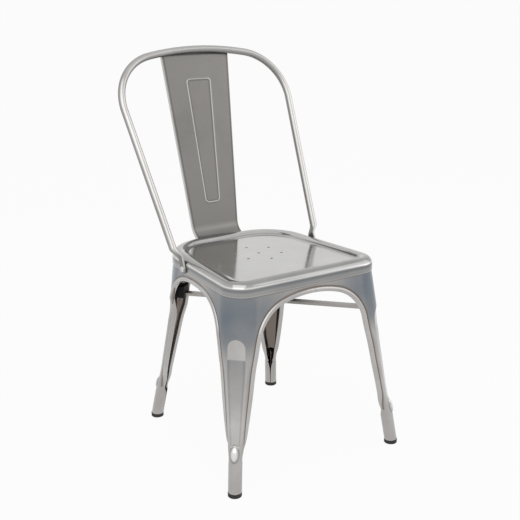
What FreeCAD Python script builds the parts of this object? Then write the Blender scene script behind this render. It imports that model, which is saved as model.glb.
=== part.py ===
import FreeCAD, Part
import os
from math import acos, asin, atan2, cos, degrees, hypot, pi, radians, sin, sqrt, tan

# Stacking bistro chair pressed from sheet steel, in millimetres.
# +Z is up, the chair faces -Y and +X is on the right of someone who looks at its front.
# Everything is drawn about the middle of the seat and moved at the end, so that the origin lies on
# the floor under the middle of the bounding box.

V = FreeCAD.Vector

# Sheet and fits
sheet = 1.2                   # thickness of every pressed sheet part
fit = 0.2                     # gap between nested parts that are spot-welded

# Seat pan
seat_top = 429.0              # height of the crest of the rim
seat_recess = 8.5             # how far the flat of the seat lies below the crest
skirt_height = 12.5           # straight part of the skirt, under the rolled rim
rim_roll = 17.5               # outer radius of the rolled rim
recess_fillet = 12.0          # radius where the rim runs into the flat of the seat
seat_front = 187.0            # distance of the skirt's front face from the middle of the seat
seat_back = 171.0             # distance of the skirt's rear face
seat_half_width = 185.0       # half width at the front corners
front_corner = 46.0           # plan radius of the front corners
back_corner = 108.0           # plan radius of the rear corners
back_corner_x = 60.0          # where the centres of the rear corners lie
drain_hole = 6.5
drain_pitch = 50.0            # distance of the outer drain holes from the middle one
drain_count = 6
drain_turn = 30.0             # direction of the first outer drain hole, in degrees
drain_y = 5.5                 # where the middle drain hole lies

# Legs
front_splay_x = 22.5          # how far a front foot stands outside the seat's widest edge
front_splay_y = 30.5          # and in front of the seat
back_splay_x = -3.5           # the same for a rear foot, from the side of the rear corner
back_splay_y = 24.5
front_slope_x = 0.118         # how fast a front leg's axis leans inward, per millimetre of height
front_slope_y = 0.140
back_slope_x = 0.125
back_slope_y = 0.166
front_turn = 45.0             # direction that a front leg's outer edge faces, from the X axis
back_turn = 52.0              # the same for a rear leg
leg_end = 9.0                 # height of the lower end of the steel above the floor
tube_radius = 13.5            # outer radius of the closed lower end of a leg
knee_drop = 154.0             # where the flute ends and the leg widens into the aprons, under the crest
shoulder_drop = 111.0         # where the widening ends, under the crest
apron_height = 12.0           # how far the aprons reach up inside the skirt
shoulder_face = 14.0          # outer edge of the leg from its axis at the shoulder
front_shoulder_radius = 47.0  # corner radius of a leg at the shoulder
back_shoulder_radius = 81.5
joint_gap = 0.4               # gap where two aprons meet
front_joint_x = 9.0           # where the front aprons meet
side_joint_y = -8.0           # where the side aprons meet

# Rolled edge of the legs and aprons
bead_radius = 5.5
bead_wall = 1.2
bead_depth = 2.6              # distance of its centre inside the outer face of the sheet
bead_start = 78.0             # height of its lower end, where the closed tube opens into the flute

# Openings between the legs, measured on the centre of the rolled edge
arch_drop = 12.5              # how far the top of an arch lies under the skirt
arch_crown = 255.0            # radius of the middle of an arch
arch_corner = 95.0            # radius of the shoulders of the front and side arches
back_arch_corner = 80.0       # the same for the rear arch
arch_lean = 13.0              # lean of the sides of an arch at the knee, in degrees
side_arch_y = -14.0           # where the side arches are highest

# Foot caps
cap_radius = 14.3
cap_plug = 18.0               # how far a plug reaches into the leg
cap_fit = 0.15
cap_chamfer = 1.0

# Back hoop. Its plane leans back; distances along the plane are measured from a base line above the
# seat.
hoop_radius = 8.0
hoop_wall = 1.5
hoop_lean = 27.5              # lean of the hoop's plane from vertical, in degrees
hoop_base_rise = 35.7         # height of the base line above the seat's crest
hoop_base_y = 63.0
hoop_stand_off = 18.93        # how far the centreline lies outside the skirt's side at the base line
hoop_spread = 5.37            # outward lean of the hoop's sides in its plane, in degrees
hoop_rise = 425.4             # from the base height to the top of the centreline
hoop_crown = 650.0            # radius of the top of the hoop
hoop_corner = 112.0           # radius of the hoop's shoulders
flattening_rise = 20.0        # where the tube starts to be flattened, above the seat's crest
tab_drop = 2.0                # where the flat end begins, under the seat's crest
tab_thick = 5.0
tab_width = 19.0
tab_edge = 1.5                # rounding of the edges of the flat end

# Back slat
slat_half_top = 88.2          # half width at the height of the hoop's top
slat_taper = 3.9              # lean of its sides in the front view, in degrees
slat_below_hoop = 4.0         # how far its upper edge lies under the top of the hoop's centreline
slat_lean = 11.8              # lean of the slat from vertical, in degrees
slat_bend = 34.0              # inner radius of the bend at its lower end
slat_bend_angle = 58.0        # how far that bend turns, in degrees
slat_flange = 7.0             # depth of the turned-back sides
slat_hoop_gap = 0.05          # gap to the hoop, where it is welded on
slat_rim_gap = 0.1            # gap to the rim of the seat
line_half_top = 31.0          # pressed line on the slat's face
line_half_bottom = 18.0
line_top_drop = 66.0          # how far it ends under the hoop's top
line_bottom_rise = 70.0       # how far it starts above the seat's crest
line_corner = 7.0
line_width = 3.0
line_height = 0.7
line_sunk = 0.2               # how far its foot reaches into the sheet

# Cross brace under the seat
brace_drop = 118.0            # how far the lower bar's underside lies under the seat's crest
brace_width = 18.0
brace_height = 6.0
brace_wall = 1.5
brace_end = 11.3              # end of a bar from the axis of the leg, toward the leg's outer edge

# Rubber stacking bumpers on the ends of the bars
bumper_width = 30.0
bumper_length = 26.0
bumper_height = 26.0
bumper_drop = 4.0             # how far a bumper hangs under the lower bar
bumper_place = 6.0            # its outer face, from the axis of the leg
bumper_chamfer = 5.0

# Bolts through the flat ends of the hoop
bolt_drop = 23.0              # how far the bolts lie under the seat's crest
bolt_radius = 4.0
bolt_clearance = 0.3
thread_clearance = 0.05
head_radius = 6.8
head_height = 4.0
washer_radius = 7.0
washer_thick = 1.5
nut_flats = 13.0
nut_thick = 6.5
bolt_stick_out = 3.0          # thread that shows past the nut

# Places that follow from the sizes above
skirt_bottom = seat_top - rim_roll - skirt_height
apron_inset = sheet + fit
apron_top = skirt_bottom + apron_height
knee = seat_top - knee_drop
shoulder = seat_top - shoulder_drop
brace_z = seat_top - brace_drop
arch_top = skirt_bottom - arch_drop
front_foot_x = seat_half_width + front_splay_x
front_foot_y = seat_front + front_splay_y
back_foot_x = back_corner_x + back_corner + back_splay_x
back_foot_y = seat_back + back_splay_y
hoop_base_z = seat_top + hoop_base_rise
flattening_z = seat_top + flattening_rise
tab_z = seat_top - tab_drop
bolt_z = seat_top - bolt_drop
hair = 0.4                    # length of the short flats that keep all leg sections alike
least_lip = 2.0               # least turn of a lip, in degrees, for the same reason

# Sections of a leg: height, outer flat from the axis, half width of that flat, radius of the ridges
# beside it, half width between the rolled edges, lip radius, and direction that the lip ends in
LEG_SECTIONS = (
    (bead_start, 12.9, hair, 13.0, 9.5, 12.5, 140.0),
    (bead_start + 19.0, 8.5, 7.0, 6.0, 14.5, 12.0, 122.0),
    (bead_start + 30.0, 6.6, 8.2, 6.0, 16.8, 12.0, 108.0),
    (bead_start + 47.0, 6.3, 9.8, 6.0, 19.8, 12.0, 90.0),
    (knee - 85.0, 6.4, 13.0, 6.0, 27.5, 12.0, 62.0),
    (knee - 25.0, 6.6, 16.8, 6.0, 33.0, 10.0, 54.0),
    (knee, 6.8, 18.3, 9.0, 36.5, 10.0, 54.0),
)

# Slot between the lips of the closed lower end: height and half width
FOOT_SLOTS = ((leg_end, 0.5), (bead_start - 33.0, 1.2), (bead_start - 12.0, 4.3))


def line(a, b):
    return Part.LineSegment(a, b).toShape()


def arc(a, middle, b):
    return Part.Arc(a, middle, b).toShape()


def unit(angle):
    return V(cos(radians(angle)), sin(radians(angle)), 0)


def circle_arc(centre, radius, start, end):
    """The arc in a horizontal plane between two directions in degrees."""
    middle = 0.5 * (start + end)
    return arc(centre + unit(start) * radius, centre + unit(middle) * radius, centre + unit(end) * radius)


def reverse(edge):
    """The same straight edge or arc, run the other way."""
    a = edge.valueAt(edge.FirstParameter)
    b = edge.valueAt(edge.LastParameter)
    middle = edge.valueAt(0.5 * (edge.FirstParameter + edge.LastParameter))
    if edge.Curve.TypeId == "Part::GeomLine":
        return line(b, a)
    return arc(b, middle, a)


def main_solid(shape):
    shape = shape.removeSplitter()
    return max(shape.Solids, key=lambda solid: solid.Volume)


def mirror_x(shape):
    return shape.mirror(V(0, 0, 0), V(1, 0, 0))


def mirror_y(shape):
    return shape.mirror(V(0, 0, 0), V(0, 1, 0))


def prism(points, direction):
    """Prism over a polygon."""
    return Part.Face(Part.makePolygon(points + [points[0]])).extrude(direction)


def tube_along(path_edges, radius, start, direction):
    """Round bar along a path."""
    ring = Part.Wire([Part.makeCircle(radius, start, direction)])
    return Part.Wire(path_edges).makePipeShell([ring], True, False)


# Basket arches, shared by the hoop and by the openings between the legs

class Basket:
    """A straight side that leans inward, a shoulder arc and a crown arc, all tangent."""

    def __init__(self, half, lean, rise, crown, corner):
        c = cos(radians(lean))
        s = sin(radians(lean))
        corner = min(corner, 0.97 * half * c)
        base = rise - crown
        reach = crown - corner
        near = half * c - corner
        gap = near * near - 2 * base * near * s + base * base - reach * reach
        along = base * c + sqrt(base * base * c * c - gap)
        self.half = half
        self.lean = lean
        self.rise = rise
        self.crown = crown
        self.corner = corner
        self.base = base
        self.centre = (near * c - along * s, near * s + along * c)
        self.crown_angle = degrees(atan2(self.centre[1] - base, self.centre[0]))

    def side_at(self, height):
        return self.half - height * tan(radians(self.lean))

    def on_corner(self, angle):
        turn = radians(angle)
        return self.centre[0] + self.corner * cos(turn), self.centre[1] + self.corner * sin(turn)

    def on_crown(self, angle):
        turn = radians(angle)
        return self.crown * cos(turn), self.base + self.crown * sin(turn)

    def crown_at(self, x):
        """Direction in degrees of the crown's point at a distance from the middle."""
        return degrees(acos(x / self.crown))

    def half_edges(self, start, stop, place):
        """Edges from a height on the straight side to a distance from the middle on the crown."""
        foot = (self.side_at(start), start)
        middle = 0.5 * (self.lean + self.crown_angle)
        last = self.crown_at(stop)
        return [
            line(place(*foot), place(*self.on_corner(self.lean))),
            arc(place(*self.on_corner(self.lean)), place(*self.on_corner(middle)),
                place(*self.on_corner(self.crown_angle))),
            arc(place(*self.on_corner(self.crown_angle)),
                place(*self.on_crown(0.5 * (self.crown_angle + last))), place(*self.on_crown(last))),
        ]


# Plan of the seat

front_centre = V(seat_half_width - front_corner, front_corner - seat_front, 0)
back_centre = V(back_corner_x, seat_back - back_corner, 0)
side_run = back_centre - front_centre
side_turn = degrees(asin((back_corner - front_corner) / hypot(side_run.x, side_run.y)))
side_angle = degrees(atan2(side_run.y, side_run.x)) - 90.0 - side_turn


def seat_outline(inset, z):
    """Closed wire round the seat, a distance inside the skirt's outer face."""
    right_front = V(front_centre.x, front_centre.y, z)
    right_back = V(back_centre.x, back_centre.y, z)
    left_front = V(-front_centre.x, front_centre.y, z)
    left_back = V(-back_centre.x, back_centre.y, z)
    front_radius = front_corner - inset
    back_radius = back_corner - inset
    corners = [
        (right_front, front_radius, -90, side_angle),
        (right_back, back_radius, side_angle, 90),
        (left_back, back_radius, 90, 180 - side_angle),
        (left_front, front_radius, 180 - side_angle, 270),
    ]
    middle = V(0, front_centre.y - front_radius, z)
    edges = []
    last = middle
    for centre, radius, start, end in corners:
        edges.append(line(last, centre + unit(start) * radius))
        edges.append(circle_arc(centre, radius, start, end))
        last = centre + unit(end) * radius
    edges.append(line(last, middle))
    return Part.Wire(edges)


side_normal = unit(side_angle)
side_along = V(-side_normal.y, side_normal.x, 0)


def skirt_point(y, z, outward=0.0):
    """Point of the right side's flat skirt at a given y, moved outward."""
    base = back_centre + side_normal * back_corner
    place = base + side_along * ((y - base.y) / side_along.y) + side_normal * outward
    return V(place.x, place.y, z)


def hoop_plane_y(z):
    return hoop_base_y + (z - hoop_base_z) * tan(radians(hoop_lean))


def bolt_place(outward):
    return skirt_point(hoop_plane_y(bolt_z), bolt_z, outward)


def bolt_holes():
    reach = 20.0
    hole = Part.makeCylinder(bolt_radius + bolt_clearance, 2 * reach, bolt_place(-reach), side_normal)
    return Part.makeCompound([hole, mirror_x(hole)])


# Seat pan

rim_slope = acos(1.0 - seat_recess / (rim_roll + recess_fillet))
flat_start = rim_roll + (rim_roll + recess_fillet) * sin(rim_slope)
roll_z = seat_top - rim_roll


def rim_profile():
    """Section of the sheet at the middle of the front: skirt, roll, slope and start of the flat."""
    fillet_z = seat_top - seat_recess + recess_fillet
    crest_end = pi / 2 - rim_slope

    def place(inset, z):
        return V(0, inset - seat_front, z)

    def roll(radius, angle):
        return place(rim_roll + radius * cos(angle), roll_z + radius * sin(angle))

    def fillet(radius, angle):
        return place(flat_start + radius * cos(angle), fillet_z + radius * sin(angle))

    turn = crest_end + pi
    hollow = recess_fillet + sheet
    inner = rim_roll - sheet
    edges = [
        line(place(0, skirt_bottom), roll(rim_roll, pi)),
        arc(roll(rim_roll, pi), roll(rim_roll, 0.5 * (pi + crest_end)), roll(rim_roll, crest_end)),
        arc(fillet(recess_fillet, turn), fillet(recess_fillet, 0.5 * (turn + 1.5 * pi)),
            fillet(recess_fillet, 1.5 * pi)),
        line(fillet(recess_fillet, 1.5 * pi), fillet(hollow, 1.5 * pi)),
        arc(fillet(hollow, 1.5 * pi), fillet(hollow, 0.5 * (turn + 1.5 * pi)), fillet(hollow, turn)),
        arc(roll(inner, crest_end), roll(inner, 0.5 * (pi + crest_end)), roll(inner, pi)),
        line(roll(inner, pi), place(sheet, skirt_bottom)),
        line(place(sheet, skirt_bottom), place(0, skirt_bottom)),
    ]
    return Part.Wire(edges)


def seat_pan():
    rim = seat_outline(0, skirt_bottom).makePipeShell([rim_profile()], True, True)
    overlap = 0.5
    outline = seat_outline(flat_start - overlap, seat_top - seat_recess - sheet)
    pan = rim.fuse(Part.Face(outline).extrude(V(0, 0, sheet)))
    centre = V(0, drain_y, seat_top - seat_recess - 2 * sheet)
    holes = [Part.makeCylinder(drain_hole / 2, 4 * sheet, centre)]
    for i in range(drain_count):
        place = centre + unit(drain_turn + i * 360.0 / drain_count) * drain_pitch
        holes.append(Part.makeCylinder(drain_hole / 2, 4 * sheet, place))
    return main_solid(pan.cut(holes).cut(bolt_holes()))


# Legs. A leg is drawn in the quarter where X is positive and Y points away from the seat's middle;
# front legs are then turned over to -Y.

class Leg:
    def __init__(self, front, joint):
        """A leg whose front or rear apron stops at a distance from the chair's middle plane."""
        self.front = front
        if front:
            self.foot = V(front_foot_x, front_foot_y, 0)
            self.slope = V(front_slope_x, front_slope_y, 0)
            self.turn = front_turn
            self.corner = V(front_centre.x, -front_centre.y, 0)
            self.corner_radius = front_corner - apron_inset
            self.shoulder_radius = front_shoulder_radius
            side = -side_angle
            arch_y = -side_arch_y
            side_stop = -side_joint_y + 0.5 * joint_gap
        else:
            self.foot = V(back_foot_x, back_foot_y, 0)
            self.slope = V(back_slope_x, back_slope_y, 0)
            self.turn = back_turn
            self.corner = back_centre
            self.corner_radius = back_corner - apron_inset
            self.shoulder_radius = back_shoulder_radius
            side = side_angle
            arch_y = side_arch_y
            side_stop = side_joint_y + 0.5 * joint_gap
        seat_side = (self.corner * unit(side)) + self.corner_radius
        middle = (arch_y - unit(side).y * seat_side) / unit(side).x
        stop = (side_stop - unit(side).y * seat_side) / unit(side).x
        end_corner = arch_corner if front else back_arch_corner
        self.wings = (
            Wing(self, 1, 90.0, V(1, 0, 0), 0.0, joint, end_corner),
            Wing(self, -1, side, V(-unit(side).y, unit(side).x, 0), middle, stop - middle, arch_corner),
        )

    def axis(self, z):
        return V(self.foot.x - self.slope.x * z, self.foot.y - self.slope.y * z, z)

    def place(self, z, out, across):
        e = unit(self.turn)
        return self.axis(z) + e * out + V(-e.y, e.x, 0) * across


class Wing:
    """One of the two flat sides of a leg, with the arch that its apron runs into."""

    def __init__(self, leg, sign, angle, along, middle, stop, corner):
        self.leg = leg
        self.sign = sign
        self.normal = unit(angle)
        self.along = along
        self.middle = middle
        self.stop = stop
        self.tilt = abs(angle - leg.turn)
        self.faces = [(z, self.face_of(z)) for z in (knee, shoulder, skirt_bottom, apron_top)]
        end = section_end(self, LEG_SECTIONS[-1], bead_depth)
        self.arch = Basket(end * along - middle, arch_lean, arch_top - knee, arch_crown, corner)

    def face_of(self, z):
        """Distance of the outer face from the chair's middle, along the wing's normal."""
        leg = self.leg
        if z >= skirt_bottom:
            return leg.corner * self.normal + leg.corner_radius
        if z == shoulder:
            flat, half, ridge = shoulder_face, hair, leg.shoulder_radius
        else:
            flat, half, ridge = LEG_SECTIONS[-1][1:4]
        w = radians(self.tilt)
        return leg.axis(z) * self.normal + (flat - ridge) * cos(w) + half * sin(w) + ridge

    def face(self, z):
        for (low, start), (high, end) in zip(self.faces, self.faces[1:]):
            if z <= high:
                break
        return start + (end - start) * (z - low) / (high - low)

    def on_apron(self, distance, height, depth):
        """Point of the apron from its place in the arch's view, a depth inside the outer face."""
        z = knee + height
        flat = self.along * (self.middle + distance) + self.normal * (self.face(z) - depth)
        return V(flat.x, flat.y, z)


def wing_edges(wing, row, offset):
    """Edges of one side of a leg's section, from the lip's end to the outer flat."""
    z, flat, half, ridge, span, lip, lip_end = row
    w = radians(wing.tilt)
    turned = radians(max(lip_end, wing.tilt + least_lip))
    straight = (span - half - ridge * sin(w) - lip * (sin(turned) - sin(w))) / cos(w)
    straight = max(straight, hair)
    ridge_out = ridge - offset
    lip_out = lip - offset
    end_e = flat - ridge + ridge_out * cos(w)
    end_t = half + ridge_out * sin(w)
    wing_e = end_e - straight * sin(w)
    wing_t = end_t + straight * cos(w)
    lip_e = wing_e - lip_out * cos(w)
    lip_t = wing_t - lip_out * sin(w)

    def on_lip(angle):
        return wing.leg.place(z, lip_e + lip_out * cos(angle), wing.sign * (lip_t + lip_out * sin(angle)))

    def on_ridge(angle):
        out = flat - ridge + ridge_out * cos(angle)
        return wing.leg.place(z, out, wing.sign * (half + ridge_out * sin(angle)))

    return [
        arc(on_lip(turned), on_lip(0.5 * (turned + w)), on_lip(w)),
        line(on_lip(w), on_ridge(w)),
        arc(on_ridge(w), on_ridge(0.5 * w), on_ridge(0.0)),
    ]


def first_point(edge):
    return edge.valueAt(edge.FirstParameter)


def last_point(edge):
    return edge.valueAt(edge.LastParameter)


def section_end(wing, row, offset):
    return first_point(wing_edges(wing, row, offset)[0])


def closed_section(sides):
    """Wire round the sheet from the half sections of its outer and inner faces."""
    runs = []
    for left, right in sides:
        middle = line(last_point(left[-1]), last_point(right[-1]))
        runs.append(left + [middle] + [reverse(edge) for edge in reversed(right)])
    outer, inner = runs
    back = [reverse(edge) for edge in reversed(inner)]
    end = line(last_point(outer[-1]), first_point(back[0]))
    close = line(last_point(back[-1]), first_point(outer[0]))
    return Part.Wire(outer + [end] + back + [close])


def tube_row(wing, z, slot):
    """Section row of the closed lower end, whose lips stop at a slot."""
    w = radians(wing.tilt)
    rest = (slot - hair - hair * cos(w)) / tube_radius
    return (z, tube_radius, hair, tube_radius, slot, tube_radius, 180.0 - degrees(asin(rest)))


def lower_leg(leg):
    """The part of a leg under the knee: a tube that opens into the flute."""
    rows = [[tube_row(wing, z, slot) for wing in leg.wings] for z, slot in FOOT_SLOTS]
    rows += [[row, row] for row in LEG_SECTIONS]
    wires = []
    for pair_of_rows in rows:
        sides = []
        for depth in (0, sheet):
            sides.append([wing_edges(wing, row, depth) for wing, row in zip(leg.wings, pair_of_rows)])
        wires.append(closed_section(sides))
    return Part.makeLoft(wires, True, True)


def long_wing(wing, row, offset):
    """Half section whose straight part runs on to the apron's joint."""
    straight, ridge = wing_edges(wing, row, offset)[1:]
    start = first_point(straight)
    rest = start * wing.along - wing.middle - wing.stop
    return [line(start - wing.along * rest, first_point(ridge)), ridge]


def corner_edges(wing, z, offset):
    """Half section of the aprons under the seat's skirt."""
    leg = wing.leg
    radius = leg.corner_radius - offset
    centre = V(leg.corner.x, leg.corner.y, z)
    hair_turn = degrees(asin(hair / leg.corner_radius))
    start = leg.turn + wing.sign * wing.tilt
    stop = leg.turn + wing.sign * hair_turn
    ridge = circle_arc(centre, radius, start, stop)
    joint = first_point(ridge)
    rest = joint * wing.along - wing.middle - wing.stop
    return [line(joint - wing.along * rest, joint), ridge]


def upper_leg(leg):
    """The part of a leg above the knee: the shoulder and the aprons, with their arches cut out."""
    knee_row = LEG_SECTIONS[-1]
    shoulder_row = (shoulder, shoulder_face, hair, leg.shoulder_radius) + knee_row[4:]
    depths = (0, sheet)
    wires = []
    for row in (knee_row, shoulder_row):
        sides = [[long_wing(wing, row, depth) for wing in leg.wings] for depth in depths]
        wires.append(closed_section(sides))
    for z in (skirt_bottom, apron_top):
        sides = [[corner_edges(wing, z, depth) for wing in leg.wings] for depth in depths]
        wires.append(closed_section(sides))
    aprons = Part.makeLoft(wires, True, True)
    for wing in leg.wings:
        aprons = aprons.cut(opening(wing))
    return aprons


def opening(wing):
    """The space under an arch, up to the centre of the rolled edge."""
    below = -1.0
    past = 6.0
    clear = 10.0
    depth = 60.0
    outside = wing.normal * (max(face for z, face in wing.faces) + clear)

    def place(distance, height):
        flat = wing.along * (wing.middle + distance) + outside
        return V(flat.x, flat.y, knee + height)

    stop = wing.stop - past
    edges = wing.arch.half_edges(below, stop, place)
    end = last_point(edges[-1])
    corner = place(stop, below)
    edges += [line(end, corner), line(corner, first_point(edges[0]))]
    return Part.Face(Part.Wire(edges)).extrude(wing.normal * -depth)


def bead_path(wing):
    """Points on the centre of the rolled edge, from its lower end to the apron's joint."""
    points = [section_end(wing, row, bead_depth) for row in LEG_SECTIONS]
    arch = wing.arch
    steps = 6
    for i in range(steps + 1):
        angle = arch.lean + (arch.crown_angle - arch.lean) * i / steps
        points.append(wing.on_apron(*arch.on_corner(angle), bead_depth))
    stop = arch.crown_at(wing.stop)
    for i in range(1, steps + 1):
        angle = arch.crown_angle + (stop - arch.crown_angle) * i / steps
        points.append(wing.on_apron(*arch.on_crown(angle), bead_depth))
    return points


def bead(wing, radius):
    """Round bar along the rolled edge, through a ring at each point of its centre."""
    points = bead_path(wing)
    rings = []
    for i, place in enumerate(points):
        before = points[max(i - 1, 0)]
        after = points[min(i + 1, len(points) - 1)]
        rings.append(Part.Wire([Part.makeCircle(radius, place, after - before)]))
    return Part.makeLoft(rings, True, True)


def leg(front, joint):
    """A whole leg, still in the quarter where X and Y are positive."""
    shape = Leg(front, joint)
    rolls = [bead(wing, bead_radius) for wing in shape.wings]
    body = lower_leg(shape).fuse([upper_leg(shape)] + rolls)
    body = body.cut([bead(wing, bead_radius - bead_wall) for wing in shape.wings])
    return main_solid(body)


def foot_cap(shape):
    """Rubber cap with a plug that follows the slope of the leg."""
    centre = shape.axis(leg_end)
    head = Part.makeCylinder(cap_radius, leg_end, V(centre.x, centre.y, 0))
    lower = [edge for edge in head.Edges if edge.BoundBox.ZMax < 0.5 * leg_end]
    head = head.makeChamfer(cap_chamfer, lower)
    radius = tube_radius - sheet - cap_fit
    rings = [Part.Wire([Part.makeCircle(radius, shape.axis(z))]) for z in (leg_end, leg_end + cap_plug)]
    return main_solid(head.fuse(Part.makeLoft(rings, True, True)))


# Back hoop

def on_hoop(x, rise):
    lean = radians(hoop_lean)
    return V(x, hoop_base_y + rise * sin(lean), hoop_base_z + rise * cos(lean))


hoop_half = skirt_point(hoop_base_y, hoop_base_z).x + hoop_stand_off
hoop_shape = Basket(hoop_half, -hoop_spread, hoop_rise, hoop_crown, hoop_corner)


def hoop_tube_path():
    start = (flattening_z - hoop_base_z) / cos(radians(hoop_lean))
    right = hoop_shape.half_edges(start, 0.0, on_hoop)
    left = hoop_shape.half_edges(start, 0.0, lambda x, rise: on_hoop(-x, rise))
    return right + [reverse(edge) for edge in reversed(left)]


def rounded_section(centre, across, through, width, thick, edge):
    """Rounded rectangle, or a circle when the rounding is half of both sizes."""
    points = []
    for sx, sy in ((1, 1), (-1, 1), (-1, -1), (1, -1)):
        middle = centre + across * (sx * (0.5 * width - edge)) + through * (sy * (0.5 * thick - edge))
        first = middle + (across * sx if sx * sy > 0 else through * sy) * edge
        last = middle + (through * sy if sx * sy > 0 else across * sx) * edge
        diagonal = (across * sx + through * sy) * (edge / sqrt(2))
        points.append((first, middle + diagonal, last))
    edges = []
    for i, (first, middle, last) in enumerate(points):
        edges.append(arc(first, middle, last))
        edges.append(line(last, points[(i + 1) % 4][0]))
    return Part.Wire(edges)


def hoop_end():
    """The right end of the hoop: from the round tube through a joggle to the flat tab."""
    path = hoop_tube_path()[0]
    top = first_point(path)
    up = (last_point(path) - top).normalize()
    lean = radians(hoop_lean)
    tab_up = side_along * sin(lean) + V(0, 0, cos(lean))
    tab_across = side_normal.cross(tab_up).normalize()
    tab_top = skirt_point(hoop_plane_y(tab_z), tab_z, 0.5 * tab_thick)
    eye = bolt_place(0.5 * tab_thick)
    tab_top = eye + tab_up * ((tab_top - eye) * tab_up)
    wires = []
    steps = 6
    for i in range(steps + 1):
        share = i / steps
        smooth = share * share * (3 - 2 * share)
        centre = top + (tab_top - top) * share
        centre += side_normal * ((tab_top - top) * side_normal * (smooth - share))
        axis = up * (1 - smooth) + tab_up * smooth
        across = (tab_across - axis * (tab_across * axis)).normalize()
        through = axis.cross(across).normalize()
        width = 2 * hoop_radius + (tab_width - 2 * hoop_radius) * smooth
        thick = 2 * hoop_radius + (tab_thick - 2 * hoop_radius) * smooth
        edge = hoop_radius - hair + (tab_edge - hoop_radius + hair) * smooth
        wires.append(rounded_section(centre, across, through, width, thick, edge))
    joggle = Part.makeLoft(wires, True, True)
    through = tab_up.cross(tab_across)
    section = rounded_section(tab_top, tab_across, through, tab_width, tab_thick, tab_edge)
    strip = Part.Face(section).extrude(eye - tab_top)
    disc = Part.makeCylinder(0.5 * tab_width, tab_thick, bolt_place(0.0), side_normal)
    rims = [item for item in disc.Edges if item.Curve.TypeId == "Part::GeomCircle"]
    disc = disc.makeFillet(tab_edge, rims)
    size = 3 * tab_width
    half = Part.makeBox(size, size, size, V(-0.5 * size, -0.5 * size, 0))
    half.Placement = FreeCAD.Placement(eye, FreeCAD.Rotation(V(0, 0, 1), tab_up * -1))
    return joggle.fuse(strip).fuse(disc.common(half))


def back_hoop():
    """The bent tube with its two flattened and drilled ends."""
    path = hoop_tube_path()
    start = first_point(path[0])
    direction = last_point(path[0]) - start
    outer = tube_along(path, hoop_radius, start, direction)
    inner = tube_along(path, hoop_radius - hoop_wall, start, direction)
    end = hoop_end()
    hoop = outer.cut(inner).fuse(end).fuse(mirror_x(end))
    return main_solid(hoop.cut(bolt_holes()))


# Back slat

def slat_points():
    """Side view of the slat's front face: the bend's centre and rays, and the straight part's ends.

    The upper end lies behind the hoop's top and the bend ends on the rim of the seat.
    """
    lean = radians(slat_lean)
    up = V(0, sin(lean), cos(lean))
    back = V(0, cos(lean), -sin(lean))
    hoop_top = on_hoop(0, hoop_rise)
    top = hoop_top + back * (hoop_radius + slat_hoop_gap)
    top = top - up * ((top.z - hoop_top.z + slat_below_hoop) / up.z)
    lip = lean + radians(slat_bend_angle)
    drop = back * -slat_bend + V(0, cos(lip), -sin(lip)) * (slat_bend + sheet)
    rim = V(0, seat_back - rim_roll, roll_z)
    start = top + drop - rim
    reach = rim_roll + slat_rim_gap
    along = start * up
    span = sqrt(along * along - (start * start - reach * reach))
    bend_top = top - up * (along - span)
    centre = bend_top - back * slat_bend

    def ray(angle):
        return V(0, cos(angle), -sin(angle))

    return centre, ray(lip), ray(lean + 0.5 * radians(slat_bend_angle)), back, up, bend_top, top


def slat_band(near, far):
    """Side view band between two depths behind the slat's front face, over the full width."""
    centre, low, middle, back, up, bend_top, top = slat_points()
    reach = slat_half_top + 60.0
    shift = V(-reach, 0, 0)

    def run(depth):
        radius = slat_bend + depth
        a = centre + low * radius + shift
        b = centre + middle * radius + shift
        c = centre + back * radius + shift
        d = top + back * depth + shift
        return [arc(a, b, c), line(c, d)]

    front = run(near)
    rear = [reverse(edge) for edge in reversed(run(far))]
    edges = front + [line(last_point(front[-1]), first_point(rear[0]))] + rear
    edges.append(line(last_point(rear[-1]), first_point(front[0])))
    return Part.Face(Part.Wire(edges)).extrude(V(2 * reach, 0, 0))


def slat_front(outset):
    """Front view of the slat, drawn in by a distance on both sides."""
    hoop_top = on_hoop(0, hoop_rise).z
    depth = on_hoop(0, hoop_rise).y + 60.0
    above = 20.0
    lean = tan(radians(slat_taper))

    def half(z):
        return slat_half_top - (hoop_top - z) * lean - outset

    low = skirt_bottom
    high = hoop_top + above
    outline = [V(half(low), 0, low), V(half(high), 0, high), V(-half(high), 0, high), V(-half(low), 0, low)]
    return prism(outline, V(0, depth, 0))


def pressed_line():
    """Raised line on the slat's face, a rounded trapezoid."""
    back, up, bend_top, top = slat_points()[3:]
    low = seat_top + line_bottom_rise
    high = on_hoop(0, hoop_rise).z - line_top_drop

    def place(x, z):
        return top + up * ((z - top.z) / up.z) + V(x, 0, 0)

    corners = [place(line_half_bottom, low), place(line_half_top, high),
               place(-line_half_top, high), place(-line_half_bottom, low)]
    arcs = []
    for i, corner in enumerate(corners):
        before = (corners[i - 1] - corner).normalize()
        after = (corners[(i + 1) % 4] - corner).normalize()
        opening_angle = acos(before * after)
        reach = line_corner / tan(opening_angle / 2)
        inward = (before + after).normalize()
        tip = corner + inward * (line_corner / sin(opening_angle / 2) - line_corner)
        arcs.append((corner + before * reach, tip, corner + after * reach))
    start = (arcs[3][2] + arcs[0][0]) * 0.5
    edges = [line(start, arcs[0][0])]
    for i, (first, tip, last) in enumerate(arcs):
        edges.append(arc(first, tip, last))
        edges.append(line(last, arcs[i + 1][0] if i < 3 else start))
    a = start + up * (0.5 * line_width) + back * line_sunk
    b = start - up * (0.5 * line_width) + back * line_sunk
    crest = start - back * line_height
    profile = Part.Wire([arc(a, crest, b), line(b, a)])
    return Part.Wire(edges).makePipeShell([profile], True, True)


def back_slat():
    face = slat_band(0, sheet).common(slat_front(0))
    sides = slat_band(0, slat_flange).common(slat_front(0)).cut(slat_front(sheet))
    return main_solid(face.fuse(sides).fuse(pressed_line()))


# Cross brace and bumpers

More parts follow.
